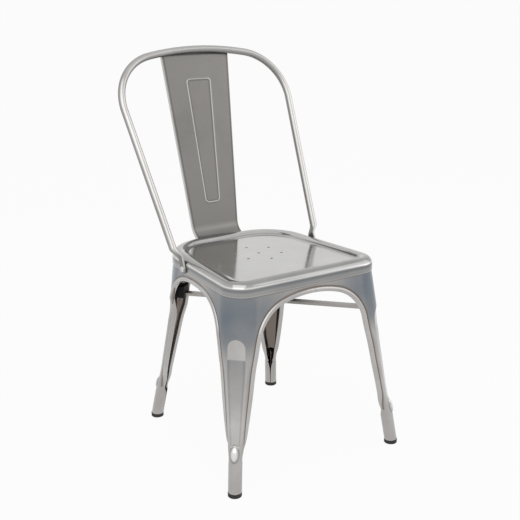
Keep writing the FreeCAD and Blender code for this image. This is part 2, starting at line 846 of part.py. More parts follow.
def brace_line(front, back, z):
    """Ends and direction of the bar from the front right leg to the rear left one."""
    start = front.place(z, brace_end, 0)
    start = V(start.x, -start.y, z)
    end = back.place(z, brace_end, 0)
    end = V(-end.x, end.y, z)
    return start, end, (end - start).normalize()


def bar(front, back, z):
    """The outer block of a bar and the hollow that makes it a channel, open underneath."""
    start, end, along = brace_line(front, back, z)
    across = V(-along.y, along.x, 0)
    past = 1.0

    def block(width, height, reach):
        corner = start - across * (0.5 * width) - along * reach
        far = end - across * (0.5 * width) + along * reach
        points = [corner, corner + across * width, far + across * width, far]
        return prism(points, V(0, 0, height))

    hollow = block(brace_width - 2 * brace_wall, brace_height - brace_wall, past)
    return block(brace_width, brace_height, 0), hollow


def cross_brace(front, back, upper):
    """One bar; the upper one lies on the lower one and runs the other way."""
    z = brace_z + (brace_height if upper else 0)
    solid, hollow = bar(front, back, z)
    shape = main_solid(solid.cut(hollow))
    return mirror_x(shape) if upper else shape


def bumper(leg_shape, other, upper):
    """Rubber block in the corner of a leg, notched over the bar."""
    e = unit(leg_shape.turn)
    across = V(-e.y, e.x, 0)
    bottom = brace_z - bumper_drop
    outer = leg_shape.place(bottom, bumper_place, 0)
    inner = outer - e * bumper_length
    half = 0.5 * bumper_width
    cut = bumper_chamfer
    points = [
        inner - across * half,
        outer - across * half - e * cut,
        outer - across * (half - cut),
        outer + across * (half - cut),
        outer + across * half - e * cut,
        inner + across * half,
    ]
    block = prism(points, V(0, 0, bumper_height))
    if leg_shape.front:
        block = mirror_y(block)
        notch = bar(leg_shape, other, brace_z + (brace_height if upper else 0))[0]
    else:
        block = mirror_x(block)
        notch = bar(other, leg_shape, brace_z + (brace_height if upper else 0))[0]
    return main_solid(block.cut(notch))


# Bolts

def hex_prism(centre, direction, flats, thick):
    base = Part.makePolygon([unit(60 * i) * (flats / sqrt(3)) for i in range(7)])
    nut = Part.Face(base).extrude(V(0, 0, thick))
    nut.Placement = FreeCAD.Placement(centre, FreeCAD.Rotation(V(0, 0, 1), direction))
    return nut


def bolt():
    """Round-headed bolt, pushed in from outside."""
    inward = side_normal * -1
    under_head = bolt_place(tab_thick)
    stack = tab_thick + apron_inset + sheet + washer_thick + nut_thick + bolt_stick_out
    shank = Part.makeCylinder(bolt_radius, stack, under_head, inward)
    dome_radius = (head_radius ** 2 + head_height ** 2) / (2 * head_height)
    dome = Part.makeSphere(dome_radius, bolt_place(tab_thick + head_height - dome_radius))
    head = Part.makeCylinder(head_radius, 2 * head_height, under_head, side_normal).common(dome)
    return main_solid(head.fuse(shank))


def washer():
    """Washer against the inner face of the apron."""
    inner = bolt_place(-apron_inset - sheet)
    inward = side_normal * -1
    ring = Part.makeCylinder(washer_radius, washer_thick, inner, inward)
    return ring.cut(Part.makeCylinder(bolt_radius + bolt_clearance, washer_thick, inner, inward))


def nut():
    """Nut against the washer."""
    inner = bolt_place(-apron_inset - sheet - washer_thick)
    inward = side_normal * -1
    bore = Part.makeCylinder(bolt_radius + thread_clearance, nut_thick, inner, inward)
    return hex_prism(inner, inward, nut_flats, nut_thick).cut(bore)


def pair(shape):
    """The same piece on the right and on the left."""
    return Part.makeCompound([shape, mirror_x(shape)])


def build():
    half_gap = 0.5 * joint_gap
    front_right = mirror_y(leg(True, front_joint_x + half_gap))
    front_left = mirror_x(mirror_y(leg(True, -front_joint_x + half_gap)))
    rear_right = leg(False, half_gap)
    holes = bolt_holes()
    rear_right = main_solid(rear_right.cut(holes))
    front = Leg(True, 0.0)
    back = Leg(False, 0.0)
    front_cap = mirror_y(foot_cap(front))
    rear_cap = foot_cap(back)
    front_bumper = bumper(front, back, False)
    rear_bumper = bumper(back, front, False)
    front_bumper_high = bumper(front, back, True)
    rear_bumper_high = bumper(back, front, True)
    return {
        "seat_pan": seat_pan(),
        "front_left_leg": front_left,
        "front_right_leg": front_right,
        "rear_left_leg": mirror_x(rear_right),
        "rear_right_leg": rear_right,
        "back_hoop": back_hoop(),
        "back_slat": back_slat(),
        "cross_brace_lower": cross_brace(front, back, False),
        "cross_brace_upper": cross_brace(front, back, True),
        "bumper_front_right": front_bumper,
        "bumper_rear_left": rear_bumper,
        "bumper_front_left": mirror_x(front_bumper_high),
        "bumper_rear_right": mirror_x(rear_bumper_high),
        "cap_front_right": front_cap,
        "cap_front_left": mirror_x(front_cap),
        "cap_rear_right": rear_cap,
        "cap_rear_left": mirror_x(rear_cap),
        "hoop_bolts": pair(bolt()),
        "hoop_washers": pair(washer()),
        "hoop_nuts": pair(nut()),
    }


parts = build()
front_end = min(shape.BoundBox.YMin for shape in parts.values())
back_end = max(shape.BoundBox.YMax for shape in parts.values())
os.makedirs("parts", exist_ok=True)
for name, shape in parts.items():
    shape.translate(V(0, -0.5 * (front_end + back_end), 0))
    print(name, shape.isValid(), len(shape.Solids), round(shape.Volume))
    shape.exportStep("parts/%s.step" % name)
print("shift", 0.5 * (front_end + back_end))
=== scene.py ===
from math import acos, asin, atan2, cos, degrees, exp, hypot, pi, radians, sin, sqrt, tan

import bmesh
import bpy
import numpy as np
from mathutils import Euler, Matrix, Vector
from mathutils.geometry import delaunay_2d_cdt


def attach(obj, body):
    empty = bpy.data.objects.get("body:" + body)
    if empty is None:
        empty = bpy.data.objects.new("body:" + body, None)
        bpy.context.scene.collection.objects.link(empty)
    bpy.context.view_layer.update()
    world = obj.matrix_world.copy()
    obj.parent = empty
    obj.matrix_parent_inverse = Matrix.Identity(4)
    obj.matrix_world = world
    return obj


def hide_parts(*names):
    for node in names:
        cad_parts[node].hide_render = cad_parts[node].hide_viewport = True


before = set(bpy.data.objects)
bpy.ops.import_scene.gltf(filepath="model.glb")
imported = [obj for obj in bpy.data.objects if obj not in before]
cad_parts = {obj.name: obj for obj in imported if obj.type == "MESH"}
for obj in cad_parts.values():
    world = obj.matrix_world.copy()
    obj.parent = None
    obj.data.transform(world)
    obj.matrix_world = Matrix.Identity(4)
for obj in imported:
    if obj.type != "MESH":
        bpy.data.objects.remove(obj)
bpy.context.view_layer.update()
scene = bpy.context.scene

MM = 0.001
SHIFT_Y = -20.568  # from the middle of the seat to the middle of the frame, in millimetres

# Camera, fitted to the photograph: place in millimetres from the middle of the seat, angles in degrees
LENS = 64.43
SENSOR = 36.0
CAMERA = (-1088.604, -1617.385, 983.349)
CAMERA_AZIMUTH = -33.936
CAMERA_ELEVATION = 16.508

SHEET = 1.2  # thickness of all the sheets

# A point's mark is its tone, from 0 dark to 1 bright, which carries painted reflections, highlights and
# shade, and its share of brown painted shade.
PLAIN_MARK = (0.8, 0.0)
INNER_SHADE_MARK = (0.25, 0.75)  # inner and lower faces: painted shade, darker and brown

# Seat pan
SEAT_TOP = 429.0
RECESS = 8.5
SKIRT = 12.5
RIM_ROLL = 17.5
RECESS_FILLET = 12.0
SEAT_FRONT = 187.0
SEAT_BACK = 171.0
SEAT_HALF = 185.0
FRONT_CORNER = 46.0
BACK_CORNER = 108.0
BACK_CORNER_X = 60.0
DRAIN_RADIUS = 3.25
DRAIN_PITCH = 50.0
DRAIN_Y = 5.5
DRAIN_SIDES = 24

# Legs
KNEE = 275.0
SHOULDER = 318.0
SKIRT_BOTTOM = SEAT_TOP - RIM_ROLL - SKIRT
APRON_TOP = SKIRT_BOTTOM + 12.0
APRON_INSET = SHEET + 0.2
LEG_END = 9.0
TUBE_RADIUS = 13.5
BEAD_RADIUS = 5.5  # rolled edge
BEAD_DEPTH = 2.6
BEAD_START = 72.0  # height of its lower end
BEAD_SIDES = 18
BEAD_GROWTH = 9  # points over which it grows out of the closed tube
BEAD_LEAST = 0.3  # its first radius, as a share of the full one
HALF_GAP = 0.2  # half the gap where two aprons meet
FRONT_JOINT_X = 9.0
SIDE_JOINT_Y = -8.0
SIDE_ARCH_Y = -14.0
ARCH_TOP = 386.5
ARCH_CROWN = 255.0
ARCH_CORNER = 95.0
BACK_ARCH_CORNER = 80.0
ARCH_LEAN = 13.0

# Hoop
HOOP_RADIUS = 8.0
HOOP_LEAN = 27.5
HOOP_BASE_Z = 464.7
HOOP_BASE_Y = 63.0
HOOP_HALF = 187.3
HOOP_SPREAD = 5.37
HOOP_RISE = 425.4
HOOP_CROWN = 650.0
HOOP_CORNER = 112.0
FLATTENING_Z = 449.0
TAB_Z = 427.0
TAB_THICK = 5.0
TAB_WIDTH = 19.0
TAB_EDGE = 1.5  # rounding of the flat ends' edges
TAB_TIP = 3.2  # width of the first section at the round end
BOLT_Z = 406.0

# Slat
SLAT_HALF_TOP = 88.2
SLAT_TAPER = 3.9
SLAT_BELOW_HOOP = 4.0
SLAT_LEAN = 11.8
SLAT_BEND = 34.0
SLAT_BEND_ANGLE = 58.0
SLAT_FLANGE = 7.0
SLAT_HOOP_GAP = 0.05
SLAT_RIM_GAP = 0.1


# Small tools

def cosd(angle):
    return cos(radians(angle))


def sind(angle):
    return sin(radians(angle))


def unit(angle):
    return np.array([cosd(angle), sind(angle)])


def smooth_table(rows, z):
    """Monotone cubic interpolation of a table whose first column is the height or the place."""
    x = [row[0] for row in rows]
    z = min(max(z, x[0]), x[-1])
    data = np.array([row[1:] for row in rows], float)
    steps = np.diff(x)
    slopes = np.diff(data, axis=0) / steps[:, None]
    tangents = np.zeros_like(data)
    tangents[0] = slopes[0]
    tangents[-1] = slopes[-1]
    for i in range(1, len(x) - 1):
        both = slopes[i - 1] * slopes[i]
        mean = 2 * both / np.where(slopes[i - 1] + slopes[i] == 0, 1, slopes[i - 1] + slopes[i])
        tangents[i] = np.where(both > 0, mean, 0)
    i = max(int(np.searchsorted(x, z)) - 1, 0)
    h = steps[i]
    t = (z - x[i]) / h
    return ((2 * t**3 - 3 * t**2 + 1) * data[i] + (t**3 - 2 * t**2 + t) * h * tangents[i]
            + (3 * t**2 - 2 * t**3) * data[i + 1] + (t**3 - t**2) * h * tangents[i + 1])


def smoothstep(share):
    share = min(max(share, 0.0), 1.0)
    return share * share * (3 - 2 * share)


def hill(distance, width):
    return exp(-(distance / width) ** 2)


def mix(first, second, share):
    return first + (second - first) * share


def unit_vector(vector):
    return vector / np.linalg.norm(vector)


def in_frame(x, y, z):
    """A point's place in the frame, in metres."""
    return x * MM, (y + SHIFT_Y) * MM, z * MM


class Builder:
    """Points, their marks and faces of one piece, in millimetres from the middle of the seat."""

    def __init__(self):
        self.points = []
        self.faces = []
        self.marks = []

    def add(self, points):
        start = len(self.points)
        self.points.extend([tuple(p) for p in points])
        self.marks.extend([PLAIN_MARK] * len(points))
        return start

    def paint(self, start, marks):
        """Sets the marks of the points from a number on."""
        self.marks[start:start + len(marks)] = marks

    def paint_since(self, start, mark):
        """Gives one mark to all the points added since a number."""
        self.paint(start, [mark] * (len(self.points) - start))

    def grid(self, rows, closed_rows=False, flip=False):
        """Quads between rows of points. closed_rows joins each row's ends."""
        width = len(rows[0])
        starts = [self.add(row) for row in rows]
        across = width if closed_rows else width - 1
        for a, b in zip(starts, starts[1:]):
            for j in range(across):
                k = (j + 1) % width
                quad = (a + j, a + k, b + k, b + j)
                self.faces.append(quad[::-1] if flip else quad)
        return starts

    def fan(self, ring, centre, flip=False):
        start = self.add(ring)
        middle = self.add([centre])
        count = len(ring)
        for i in range(count):
            tri = (start + i, start + (i + 1) % count, middle)
            self.faces.append(tri[::-1] if flip else tri)

    def sheet(self, rows, marks, inner_mark):
        """A sheet whose outer face is the grid of rows, with its inner face and edges."""
        outer = np.array(rows, float)
        along = np.gradient(outer, axis=1)
        down = np.gradient(outer, axis=0)
        normal = np.cross(along, down)
        normal /= np.maximum(np.linalg.norm(normal, axis=2), 1e-9)[:, :, None]
        inner = outer + normal * SHEET
        n, m = outer.shape[:2]
        a = self.grid(outer)[0]
        b = self.grid(inner, flip=True)[0]
        self.paint(a, marks)
        self.paint(b, [inner_mark] * (n * m))
        numbers = np.arange(n * m).reshape(n, m)
        border = [*numbers[0], *numbers[1:, -1], *numbers[-1, -2::-1], *numbers[-2:0:-1, 0]]
        for p, q in zip(border, border[1:] + border[:1]):
            self.faces.append((a + q, a + p, b + p, b + q))

    def tube(self, points, radii, sides):
        """Round bar along a path, with closed ends."""
        points = np.array(points, float)
        tangents = np.gradient(points, axis=0)
        tangents /= np.linalg.norm(tangents, axis=1)[:, None]
        side = unit_vector(np.cross(tangents[0], [0.3, 0.5, 0.8]))
        angles = np.linspace(0, 2 * pi, sides, endpoint=False)
        rows = []
        for place, tangent, radius in zip(points, tangents, radii):
            side = unit_vector(side - tangent * np.dot(side, tangent))
            other = np.cross(tangent, side)
            rows.append([place + radius * (cos(t) * side + sin(t) * other) for t in angles])
        self.grid(rows, closed_rows=True, flip=True)
        self.fan(rows[0], points[0])
        self.fan(rows[-1], points[-1], flip=True)

    def join(self, other):
        """Takes over the points, marks and faces of another builder."""
        start = len(self.points)
        self.points += other.points
        self.marks += other.marks
        self.faces += [tuple(i + start for i in face) for face in other.faces]

    def mirrored(self, sx=1, sy=1):
        copy = Builder()
        copy.points = [(sx * x, sy * y, z) for x, y, z in self.points]
        copy.faces = [face[::-1] for face in self.faces] if sx * sy < 0 else list(self.faces)
        copy.marks = list(self.marks)
        return copy

    def piece(self, name, material, nodes, slot, smooth_angle):
        mesh = bpy.data.meshes.new(name)
        mesh.from_pydata([in_frame(*point) for point in self.points], [], self.faces)
        for index, label in enumerate(("tone", "brown_shade")):
            layer = mesh.attributes.new(label, "FLOAT", "POINT")
            layer.data.foreach_set("value", [mark[index] for mark in self.marks])
        obj = new_object(name, mesh)
        weld(mesh)
        mesh.shade_smooth()
        mesh.set_sharp_from_angle(angle=radians(smooth_angle))
        mesh.materials.append(material)
        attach(obj, "root")
        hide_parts(*nodes)


def new_object(name, data):
    """A new object in the scene."""
    obj = bpy.data.objects.new(name, data)
    scene.collection.objects.link(obj)
    return obj


def weld(mesh):
    """Merges doubled vertices and makes the normals agree."""
    work = bmesh.new()
    work.from_mesh(mesh)
    bmesh.ops.remove_doubles(work, verts=work.verts, dist=1e-6)
    bmesh.ops.recalc_face_normals(work, faces=work.faces)
    work.to_mesh(mesh)
    work.free()


# Basket arches, for the hoop and for the openings between the legs

CORNER_SHARE = 0.97  # largest corner radius, as a share of the half width


class Basket:
    """Arch of two leaning straight sides, two corner arcs and a flatter crown arc."""

    def __init__(self, half, lean, rise, crown, corner):
        c = cosd(lean)
        s = sind(lean)
        corner = min(corner, CORNER_SHARE * half * c)
        base = rise - crown
        reach = crown - corner
        near = half * c - corner
        rest = near * near - 2 * base * near * s + base * base - reach * reach
        along = base * c + sqrt(base * base * c * c - rest)
        self.half = half
        self.lean = lean
        self.crown = crown
        self.corner = corner
        self.base = base
        self.centre = np.array([near * c - along * s, near * s + along * c])
        self.crown_angle = degrees(atan2(self.centre[1] - base, self.centre[0]))

    def on_side(self, height):
        return np.array([self.half - height * tan(radians(self.lean)), height])

    def on_corner(self, angle):
        return self.centre + self.corner * unit(angle)

    def on_crown(self, angle):
        return np.array([0, self.base]) + self.crown * unit(angle)

    def distance(self, x, height):
        """Distance outside the arch of a point, from the middle and above the base."""
        x = abs(x)
        away = np.array([x, height]) - self.centre
        angle = degrees(atan2(away[1], away[0]))
        if angle < self.lean:
            return (x - self.on_side(height)[0]) * cosd(self.lean)
        if angle <= self.crown_angle:
            return hypot(away[0], away[1]) - self.corner
        return hypot(x, height - self.base) - self.crown

    def points(self, start, stop, side_steps, corner_steps, crown_steps):
        """Points from a height on the straight side to a distance from the middle on the crown."""
        joint = self.on_corner(self.lean)
        points = [self.on_side(h) for h in np.linspace(start, joint[1], side_steps, endpoint=False)]
        for angle in np.linspace(self.lean, self.crown_angle, corner_steps, endpoint=False):
            points.append(self.on_corner(angle))
        last = degrees(acos(stop / self.crown))
        return points + [self.on_crown(angle) for angle in np.linspace(self.crown_angle, last, crown_steps)]


# Plan of the seat

front_centre = np.array([SEAT_HALF - FRONT_CORNER, FRONT_CORNER - SEAT_FRONT])
back_centre = np.array([BACK_CORNER_X, SEAT_BACK - BACK_CORNER])
run = back_centre - front_centre
side_angle = (degrees(atan2(run[1], run[0])) - 90
              - degrees(asin((BACK_CORNER - FRONT_CORNER) / np.linalg.norm(run))))
side_normal = unit(side_angle)
side_along = unit(side_angle + 90)

FRONT_STEPS = 28  # points round a front corner, round a back corner and along a straight edge
BACK_STEPS = 36
STRAIGHT_STEPS = 14


def seat_plan():
    """Points and outward directions round the seat's outline, at the skirt's outer face."""
    corners = [
        (front_centre, FRONT_CORNER, -90, side_angle, FRONT_STEPS),
        (back_centre, BACK_CORNER, side_angle, 90, BACK_STEPS),
        (back_centre * (-1, 1), BACK_CORNER, 90, 180 - side_angle, BACK_STEPS),
        (front_centre * (-1, 1), FRONT_CORNER, 180 - side_angle, 270, FRONT_STEPS),
    ]
    plan = []
    for i, (centre, radius, start, end, steps) in enumerate(corners):
        for angle in np.linspace(start, end, steps):
            plan.append((centre + radius * unit(angle), unit(angle)))
        following = corners[(i + 1) % 4]
        here = centre + radius * unit(end)
        there = following[0] + following[1] * unit(following[2])
        for k in range(1, STRAIGHT_STEPS):
            plan.append((mix(here, there, k / STRAIGHT_STEPS), unit(end)))
    return plan


# Seat pan

ROLL_STEPS = 26  # points round the rim's roll
SKIRT_STEPS = 5
HEM_STEPS = 6


def rim_section(offset):
    """Insets and heights along the rim, a distance inside its outer face, and the inset of the flat."""
    slope = acos(1 - RECESS / (RIM_ROLL + RECESS_FILLET))
    roll_z = SEAT_TOP - RIM_ROLL
    flat = RIM_ROLL + (RIM_ROLL + RECESS_FILLET) * sin(slope)
    fillet_z = SEAT_TOP - RECESS + RECESS_FILLET
    crest = pi / 2 - slope
    points = [(offset, z) for z in np.linspace(SKIRT_BOTTOM, roll_z, SKIRT_STEPS, endpoint=False)]
    radius = RIM_ROLL - offset
    for angle in np.linspace(pi, crest, ROLL_STEPS, endpoint=False):
        points.append((RIM_ROLL + radius * cos(angle), roll_z + radius * sin(angle)))
    radius = RECESS_FILLET + offset
    for angle in np.linspace(crest + pi, 1.5 * pi, ROLL_STEPS // 2):
        points.append((flat + radius * cos(angle), fillet_z + radius * sin(angle)))
    return points, flat


# Share of the way along the rim's outer face, from the skirt's lower edge to the flat, and the tone there:
# painted bands of reflection and shade
RIM_PAINTED_TONES = (
    (0.0, 0.5),
    (0.02, 0.36),
    (0.07, 0.38),
    (0.12, 0.14),
    (0.16, 0.22),
    (0.205, 0.86),
    (0.25, 0.52),
    (0.36, 0.40),
    (0.50, 0.52),
    (0.66, 0.66),
    (0.78, 0.46),
    (0.92, 0.60),
    (1.0, 0.655),
)
SEAT_MARK = (0.655, 0.0)


def seat_ring(plan, inset, z):
    """The seat's outline at a height, moved in by an inset."""
    return [np.append(place - normal * inset, z) for place, normal in plan]


def rim(build, plan, outer, inner):
    """The rim's two faces and the folded lower edge of the skirt between them."""
    half = 0.5 * SHEET
    hem = [(half + half * cos(t), SKIRT_BOTTOM - half * sin(t))
           for t in np.linspace(0, pi, HEM_STEPS)[1:-1]]
    section = inner[::-1] + hem + outer
    starts = build.grid([seat_ring(plan, *place) for place in section], closed_rows=True)
    outer_start = len(inner) + len(hem)
    for k, start in enumerate(starts):
        share = max(k - outer_start, 0) / (len(outer) - 1)
        # The inner face takes the painted shade mark, the outer face the painted reflection bands.
        mark = INNER_SHADE_MARK if k < len(inner) else (smooth_table(RIM_PAINTED_TONES, share)[0], 0.0)
        build.paint(start, [mark] * len(plan))


def seat_piece(material):
    build = Builder()
    plan = seat_plan()
    outer, flat = rim_section(0.0)
    inner = rim_section(SHEET)[0]
    rim(build, plan, outer, inner)
    top_z = SEAT_TOP - RECESS
    for z, upward, mark in ((top_z, True, SEAT_MARK), (top_z - SHEET, False, INNER_SHADE_MARK)):
        start = len(build.points)
        flat_face(build, seat_ring(plan, flat, z), z, upward)
        build.paint_since(start, mark)
    start = len(build.points)
    for centre in drain_centres():
        wall = [[(x, y, z) for x, y in drain_outline(centre)] for z in (top_z, top_z - SHEET)]
        build.grid(wall, closed_rows=True)
    build.paint_since(start, SEAT_MARK)
    build.piece("SeatPan", material, ("seat_pan",), "seat_steel", 35)


def drain_centres():
    """One hole in the middle and six round it."""
    middle = (0.0, DRAIN_Y)
    return [middle] + [middle + DRAIN_PITCH * unit(angle) for angle in range(30, 390, 60)]


def drain_outline(centre):
    x, y = centre
    angles = np.linspace(0, 2 * pi, DRAIN_SIDES, endpoint=False)
    return [(x + DRAIN_RADIUS * cos(t), y + DRAIN_RADIUS * sin(t)) for t in angles]


def flat_face(build, outline, z, upward):
    """The flat of the seat with its drain holes, as a constrained triangulation."""
    points = [Vector((p[0], p[1])) for p in outline]
    loops = [list(range(len(outline)))]
    for centre in drain_centres():
        start = len(points)
        points += [Vector(p) for p in drain_outline(centre)]
        loops.append(list(range(start, start + DRAIN_SIDES)))
    edges = [edge for loop in loops for edge in zip(loop, loop[1:] + loop[:1])]
    verts, _, faces, _, _, _ = delaunay_2d_cdt(points, edges, [], 1, 1e-5)
    start = build.add([(v[0], v[1], z) for v in verts])
    for face in faces:
        middle = sum((verts[i] for i in face), Vector((0, 0))) / len(face)
        if any(hypot(middle[0] - c[0], middle[1] - c[1]) < DRAIN_RADIUS for c in drain_centres()):
            continue
        ids = [start + i for i in face]
        build.faces.append(tuple(ids if upward else ids[::-1]))


# Legs

# Sections of a leg: height, outer edge of the corner from the axis, corner radius, half width of the
# flute that cuts the corner off, half width between the rolled edges, lip radius and lip direction
LEG_ROWS = (
    (78.0, 12.9, 13.2, 0.4, 9.5, 12.5, 140.0),
    (97.0, 12.3, 13.5, 6.5, 14.5, 12.0, 122.0),
    (106.0, 11.2, 15.0, 9.8, 16.4, 12.0, 110.0),
    (125.0, 11.1, 17.4, 11.6, 19.8, 12.0, 90.0),
    (190.0, 12.6, 22.5, 15.2, 27.5, 12.0, 62.0),
    (250.0, 14.2, 28.5, 18.8, 33.0, 10.0, 54.0),
    (KNEE, 12.6, 38.0, 19.0, 36.5, 10.0, 54.0),
)
FLUTE_HALF = 19.0
FLUTE_ARCH = 298.0  # height where the flute's rounded top begins
FLUTE_STEP = 275.0  # height of the edge between the flute's sloping top and its panel
BUMP_Z = 89.5
BUMP_HALF_WIDTH = 8.8
BUMP_HALF_HEIGHT = 16.0
BUMP_RISE = 4.2
HAIR = 0.4  # a half width that stands for none
LEAST_LIP = 2.0  # least turn of the lip and of the ridge, in degrees
LEAST_RIDGE = 1.5

# Closed tube under those sections: height and half width between the rolled edges
TUBE_ROWS = ((LEG_END, 0.5), (45.0, 1.2), (66.0, 4.3))

# Points along the parts of a section: the lip, the wing, the ridge and the flute's flat
LIP_STEPS = 8
WING_STEPS = 14
RIDGE_STEPS = 12
FLAT_STEPS = 20

# Rows of a leg below the shoulder: from a height to a height, and how many
LEVELS = ((LEG_END, 66.0, 10), (66.0, 112.0, 46), (112.0, 262.0, 40), (262.0, SHOULDER, 42))

# Rows from the shoulder to the arch's top, above it by a height, and below the skirt's lower edge by a drop
ARCH_LEVELS = 34
ABOVE_ARCH = (0.4, 2.0, 4.0, 5.2, 6.4, 7.6, 9.0)
BELOW_SKIRT = (2.6, 1.8, 1.2, 0.6, 0.0, -6.0, SKIRT_BOTTOM - APRON_TOP)

# Points of the rolled edge under the knee, and along the side, the corner and the crown of the arch
BEAD_LEVELS = 44
ARCH_STEPS = (8, 22, 18)


# Where a leg's axis meets the floor, its slope, the direction of its corner, the corner radius at the
# shoulder, the radius of the seat's corner, and the corner radius of the arch in front or at the back
FRONT_LEG = ((207.5, 217.5), (0.118, 0.140), 45.0, 47.0, FRONT_CORNER, ARCH_CORNER)
REAR_LEG = ((164.5, 195.5), (0.125, 0.166), 52.0, 81.5, BACK_CORNER, BACK_ARCH_CORNER)


class Leg:
    """A front or rear leg, in the quarter where X and Y are positive."""

    def __init__(self, front, joint):
        foot, slope, self.turn, shoulder_radius, seat_corner, arch_corner = FRONT_LEG if front else REAR_LEG
        self.foot = np.array(foot)
        self.slope = np.array(slope)
        self.corner_radius = seat_corner - APRON_INSET
        self.corner = front_centre * (1, -1) if front else back_centre
        turned = -1 if front else 1
        side = turned * side_angle
        arch_y = turned * SIDE_ARCH_Y
        stop_y = turned * SIDE_JOINT_Y + HALF_GAP
        self.rows = LEG_ROWS + ((SHOULDER, 14.0, shoulder_radius, FLUTE_HALF, 41.0, 10.0, 52.0),)
        normal = unit(side)
        seat_side = self.corner @ normal + self.corner_radius
        middle = (arch_y - normal[1] * seat_side) / normal[0]
        stop = (stop_y - normal[1] * seat_side) / normal[0]
        self.wings = [
            Wing(self, 1, 90.0, np.array([1.0, 0.0]), 0.0, joint, arch_corner),
            Wing(self, -1, side, unit(side + 90), middle, stop - middle, ARCH_CORNER),
        ]

    def axis(self, z):
        return self.foot - self.slope * z

    def place(self, z, out, across):
        """Point at a height, from the axis outward through the corner and across it."""
        return np.append(self.axis(z) + unit(self.turn) * out + unit(self.turn + 90) * across, z)


class Wing:
    """One side of a leg, with its half of the arch between two legs."""

    def __init__(self, leg, sign, angle, along, middle, stop, corner):
        self.leg = leg
        self.sign = sign
        self.normal = unit(angle)
        self.along = along
        self.middle = middle
        self.stop = stop
        self.tilt = abs(angle - leg.turn)
        end = leg_half(self, KNEE, 0.0, 2, 2, 2)[0]
        half = end[:2] @ along - middle
        self.arch = Basket(half, ARCH_LEAN, ARCH_TOP - KNEE, ARCH_CROWN, corner)

    def edge_at(self, height):
        """Distance of the opening's edge from the arch's middle, at a height above the knee."""
        arch = self.arch
        if height <= arch.on_corner(arch.lean)[1]:
            return arch.on_side(height)[0]
        if height <= arch.on_corner(arch.crown_angle)[1]:
            return arch.centre[0] + sqrt(max(arch.corner**2 - (height - arch.centre[1]) ** 2, 0))
        return sqrt(max(arch.crown**2 - (height - arch.base) ** 2, 0))


def tube_lip(wing, slot):
    """Direction in which the closed tube's lip ends, for half the width of its slot."""
    rest = (slot - HAIR - HAIR * cosd(wing.tilt)) / TUBE_RADIUS
    return 180.0 - degrees(asin(rest))


def leg_parameters(wing, z):
    """The values of LEG_ROWS for a section at a height."""
    tube_rows = tuple((height, TUBE_RADIUS, TUBE_RADIUS, HAIR, slot, TUBE_RADIUS, tube_lip(wing, slot))
                      for height, slot in TUBE_ROWS)
    return smooth_table(tube_rows + wing.leg.rows, z)


def flute_edge(wing, z, radius, half):
    """Direction of the flute's edge on the corner's arc. Its half width shrinks in the rounded top."""
    if z > FLUTE_ARCH:
        rise = min((z - FLUTE_ARCH) / (SHOULDER - 1.0 - FLUTE_ARCH), 1.0)
        half = max(FLUTE_HALF * sqrt(max(1.0 - rise * rise, 0.0)), HAIR)
    return min(degrees(asin(min(half / radius, 0.999))), wing.tilt - LEAST_RIDGE)


def leg_half(wing, z, offset, lip_steps, wing_steps, ridge_steps):
    """Points of one side of a section, from the lip's end to the edge of the flute."""
    face, ridge, half, span, lip, lip_end = leg_parameters(wing, z)
    tilt = wing.tilt
    turned = max(lip_end, tilt + LEAST_LIP)
    straight = (span - ridge * sind(tilt) - lip * (sind(turned) - sind(tilt))) / cosd(tilt)
    edge = flute_edge(wing, z, ridge, half)
    ridge_centre = np.array([face - ridge, 0.0])
    ridge_radius = ridge - offset
    lip_radius = lip - offset
    ridge_end = ridge_centre + ridge_radius * unit(tilt)
    wing_end = ridge_end + max(straight, HAIR) * unit(tilt + 90)
    lip_centre = wing_end - lip_radius * unit(tilt)
    lip_turns = np.linspace(turned, tilt, lip_steps, endpoint=False)
    places = [lip_centre + lip_radius * unit(t) for t in lip_turns]
    places += [mix(wing_end, ridge_end, t) for t in np.linspace(0, 1, wing_steps, endpoint=False)]
    places += [ridge_centre + ridge_radius * unit(t) for t in np.linspace(tilt, edge, ridge_steps)]
    return [wing.leg.place(z, out, wing.sign * across) for out, across in places]


def corner_half(wing, share):
    """Ridge of the section above the shoulder, between the shoulder and the seat's corner."""
    leg = wing.leg
    hair_turn = degrees(asin(HAIR / leg.corner_radius))
    turns = leg.turn + wing.sign * np.linspace(wing.tilt, hair_turn, RIDGE_STEPS)
    seat = [leg.corner + leg.corner_radius * unit(turn) for turn in turns]
    low = leg_half(wing, SHOULDER, 0.0, 2, 2, RIDGE_STEPS)[-RIDGE_STEPS:]
    return [mix(point[:2], place, share) for point, place in zip(low, seat)]


def leg_side(wing, z):
    """All the points of one side of a leg at a height, from the rolled edge to the outer flat."""
    if z <= SHOULDER:
        points = leg_half(wing, z, 0.0, LIP_STEPS, WING_STEPS, RIDGE_STEPS)
        if z < KNEE:
            return points
        ridge = points[-RIDGE_STEPS:]
    else:
        share = (min(z, SKIRT_BOTTOM) - SHOULDER) / (SKIRT_BOTTOM - SHOULDER)
        ridge = [np.append(place, z) for place in corner_half(wing, share)]
    start = ridge[0]
    height = z - KNEE
    arch = wing.arch
    top = arch.base + sqrt(arch.crown**2 - max(wing.stop, 0.0)**2)
    edge = wing.stop if height >= top else max(wing.edge_at(height), wing.stop)
    away = start[:2] @ wing.along - wing.middle - edge
    end = start - np.append(wing.along, 0) * away
    count = LIP_STEPS + WING_STEPS
    return [mix(end, start, k / count) for k in range(count)] + ridge


def leg_levels():
    """Heights of the rows of a leg, closer together where its shape changes faster."""
    levels = [z for low, high, count in LEVELS for z in np.linspace(low, high, count, endpoint=False)]
    top = ARCH_TOP - ABOVE_ARCH[0]
    levels += [mix(top, SHOULDER, t**2) for t in np.linspace(1, 0, ARCH_LEVELS)]
    levels += [ARCH_TOP + rise for rise in ABOVE_ARCH]
    return levels + [SKIRT_BOTTOM - drop for drop in BELOW_SKIRT]


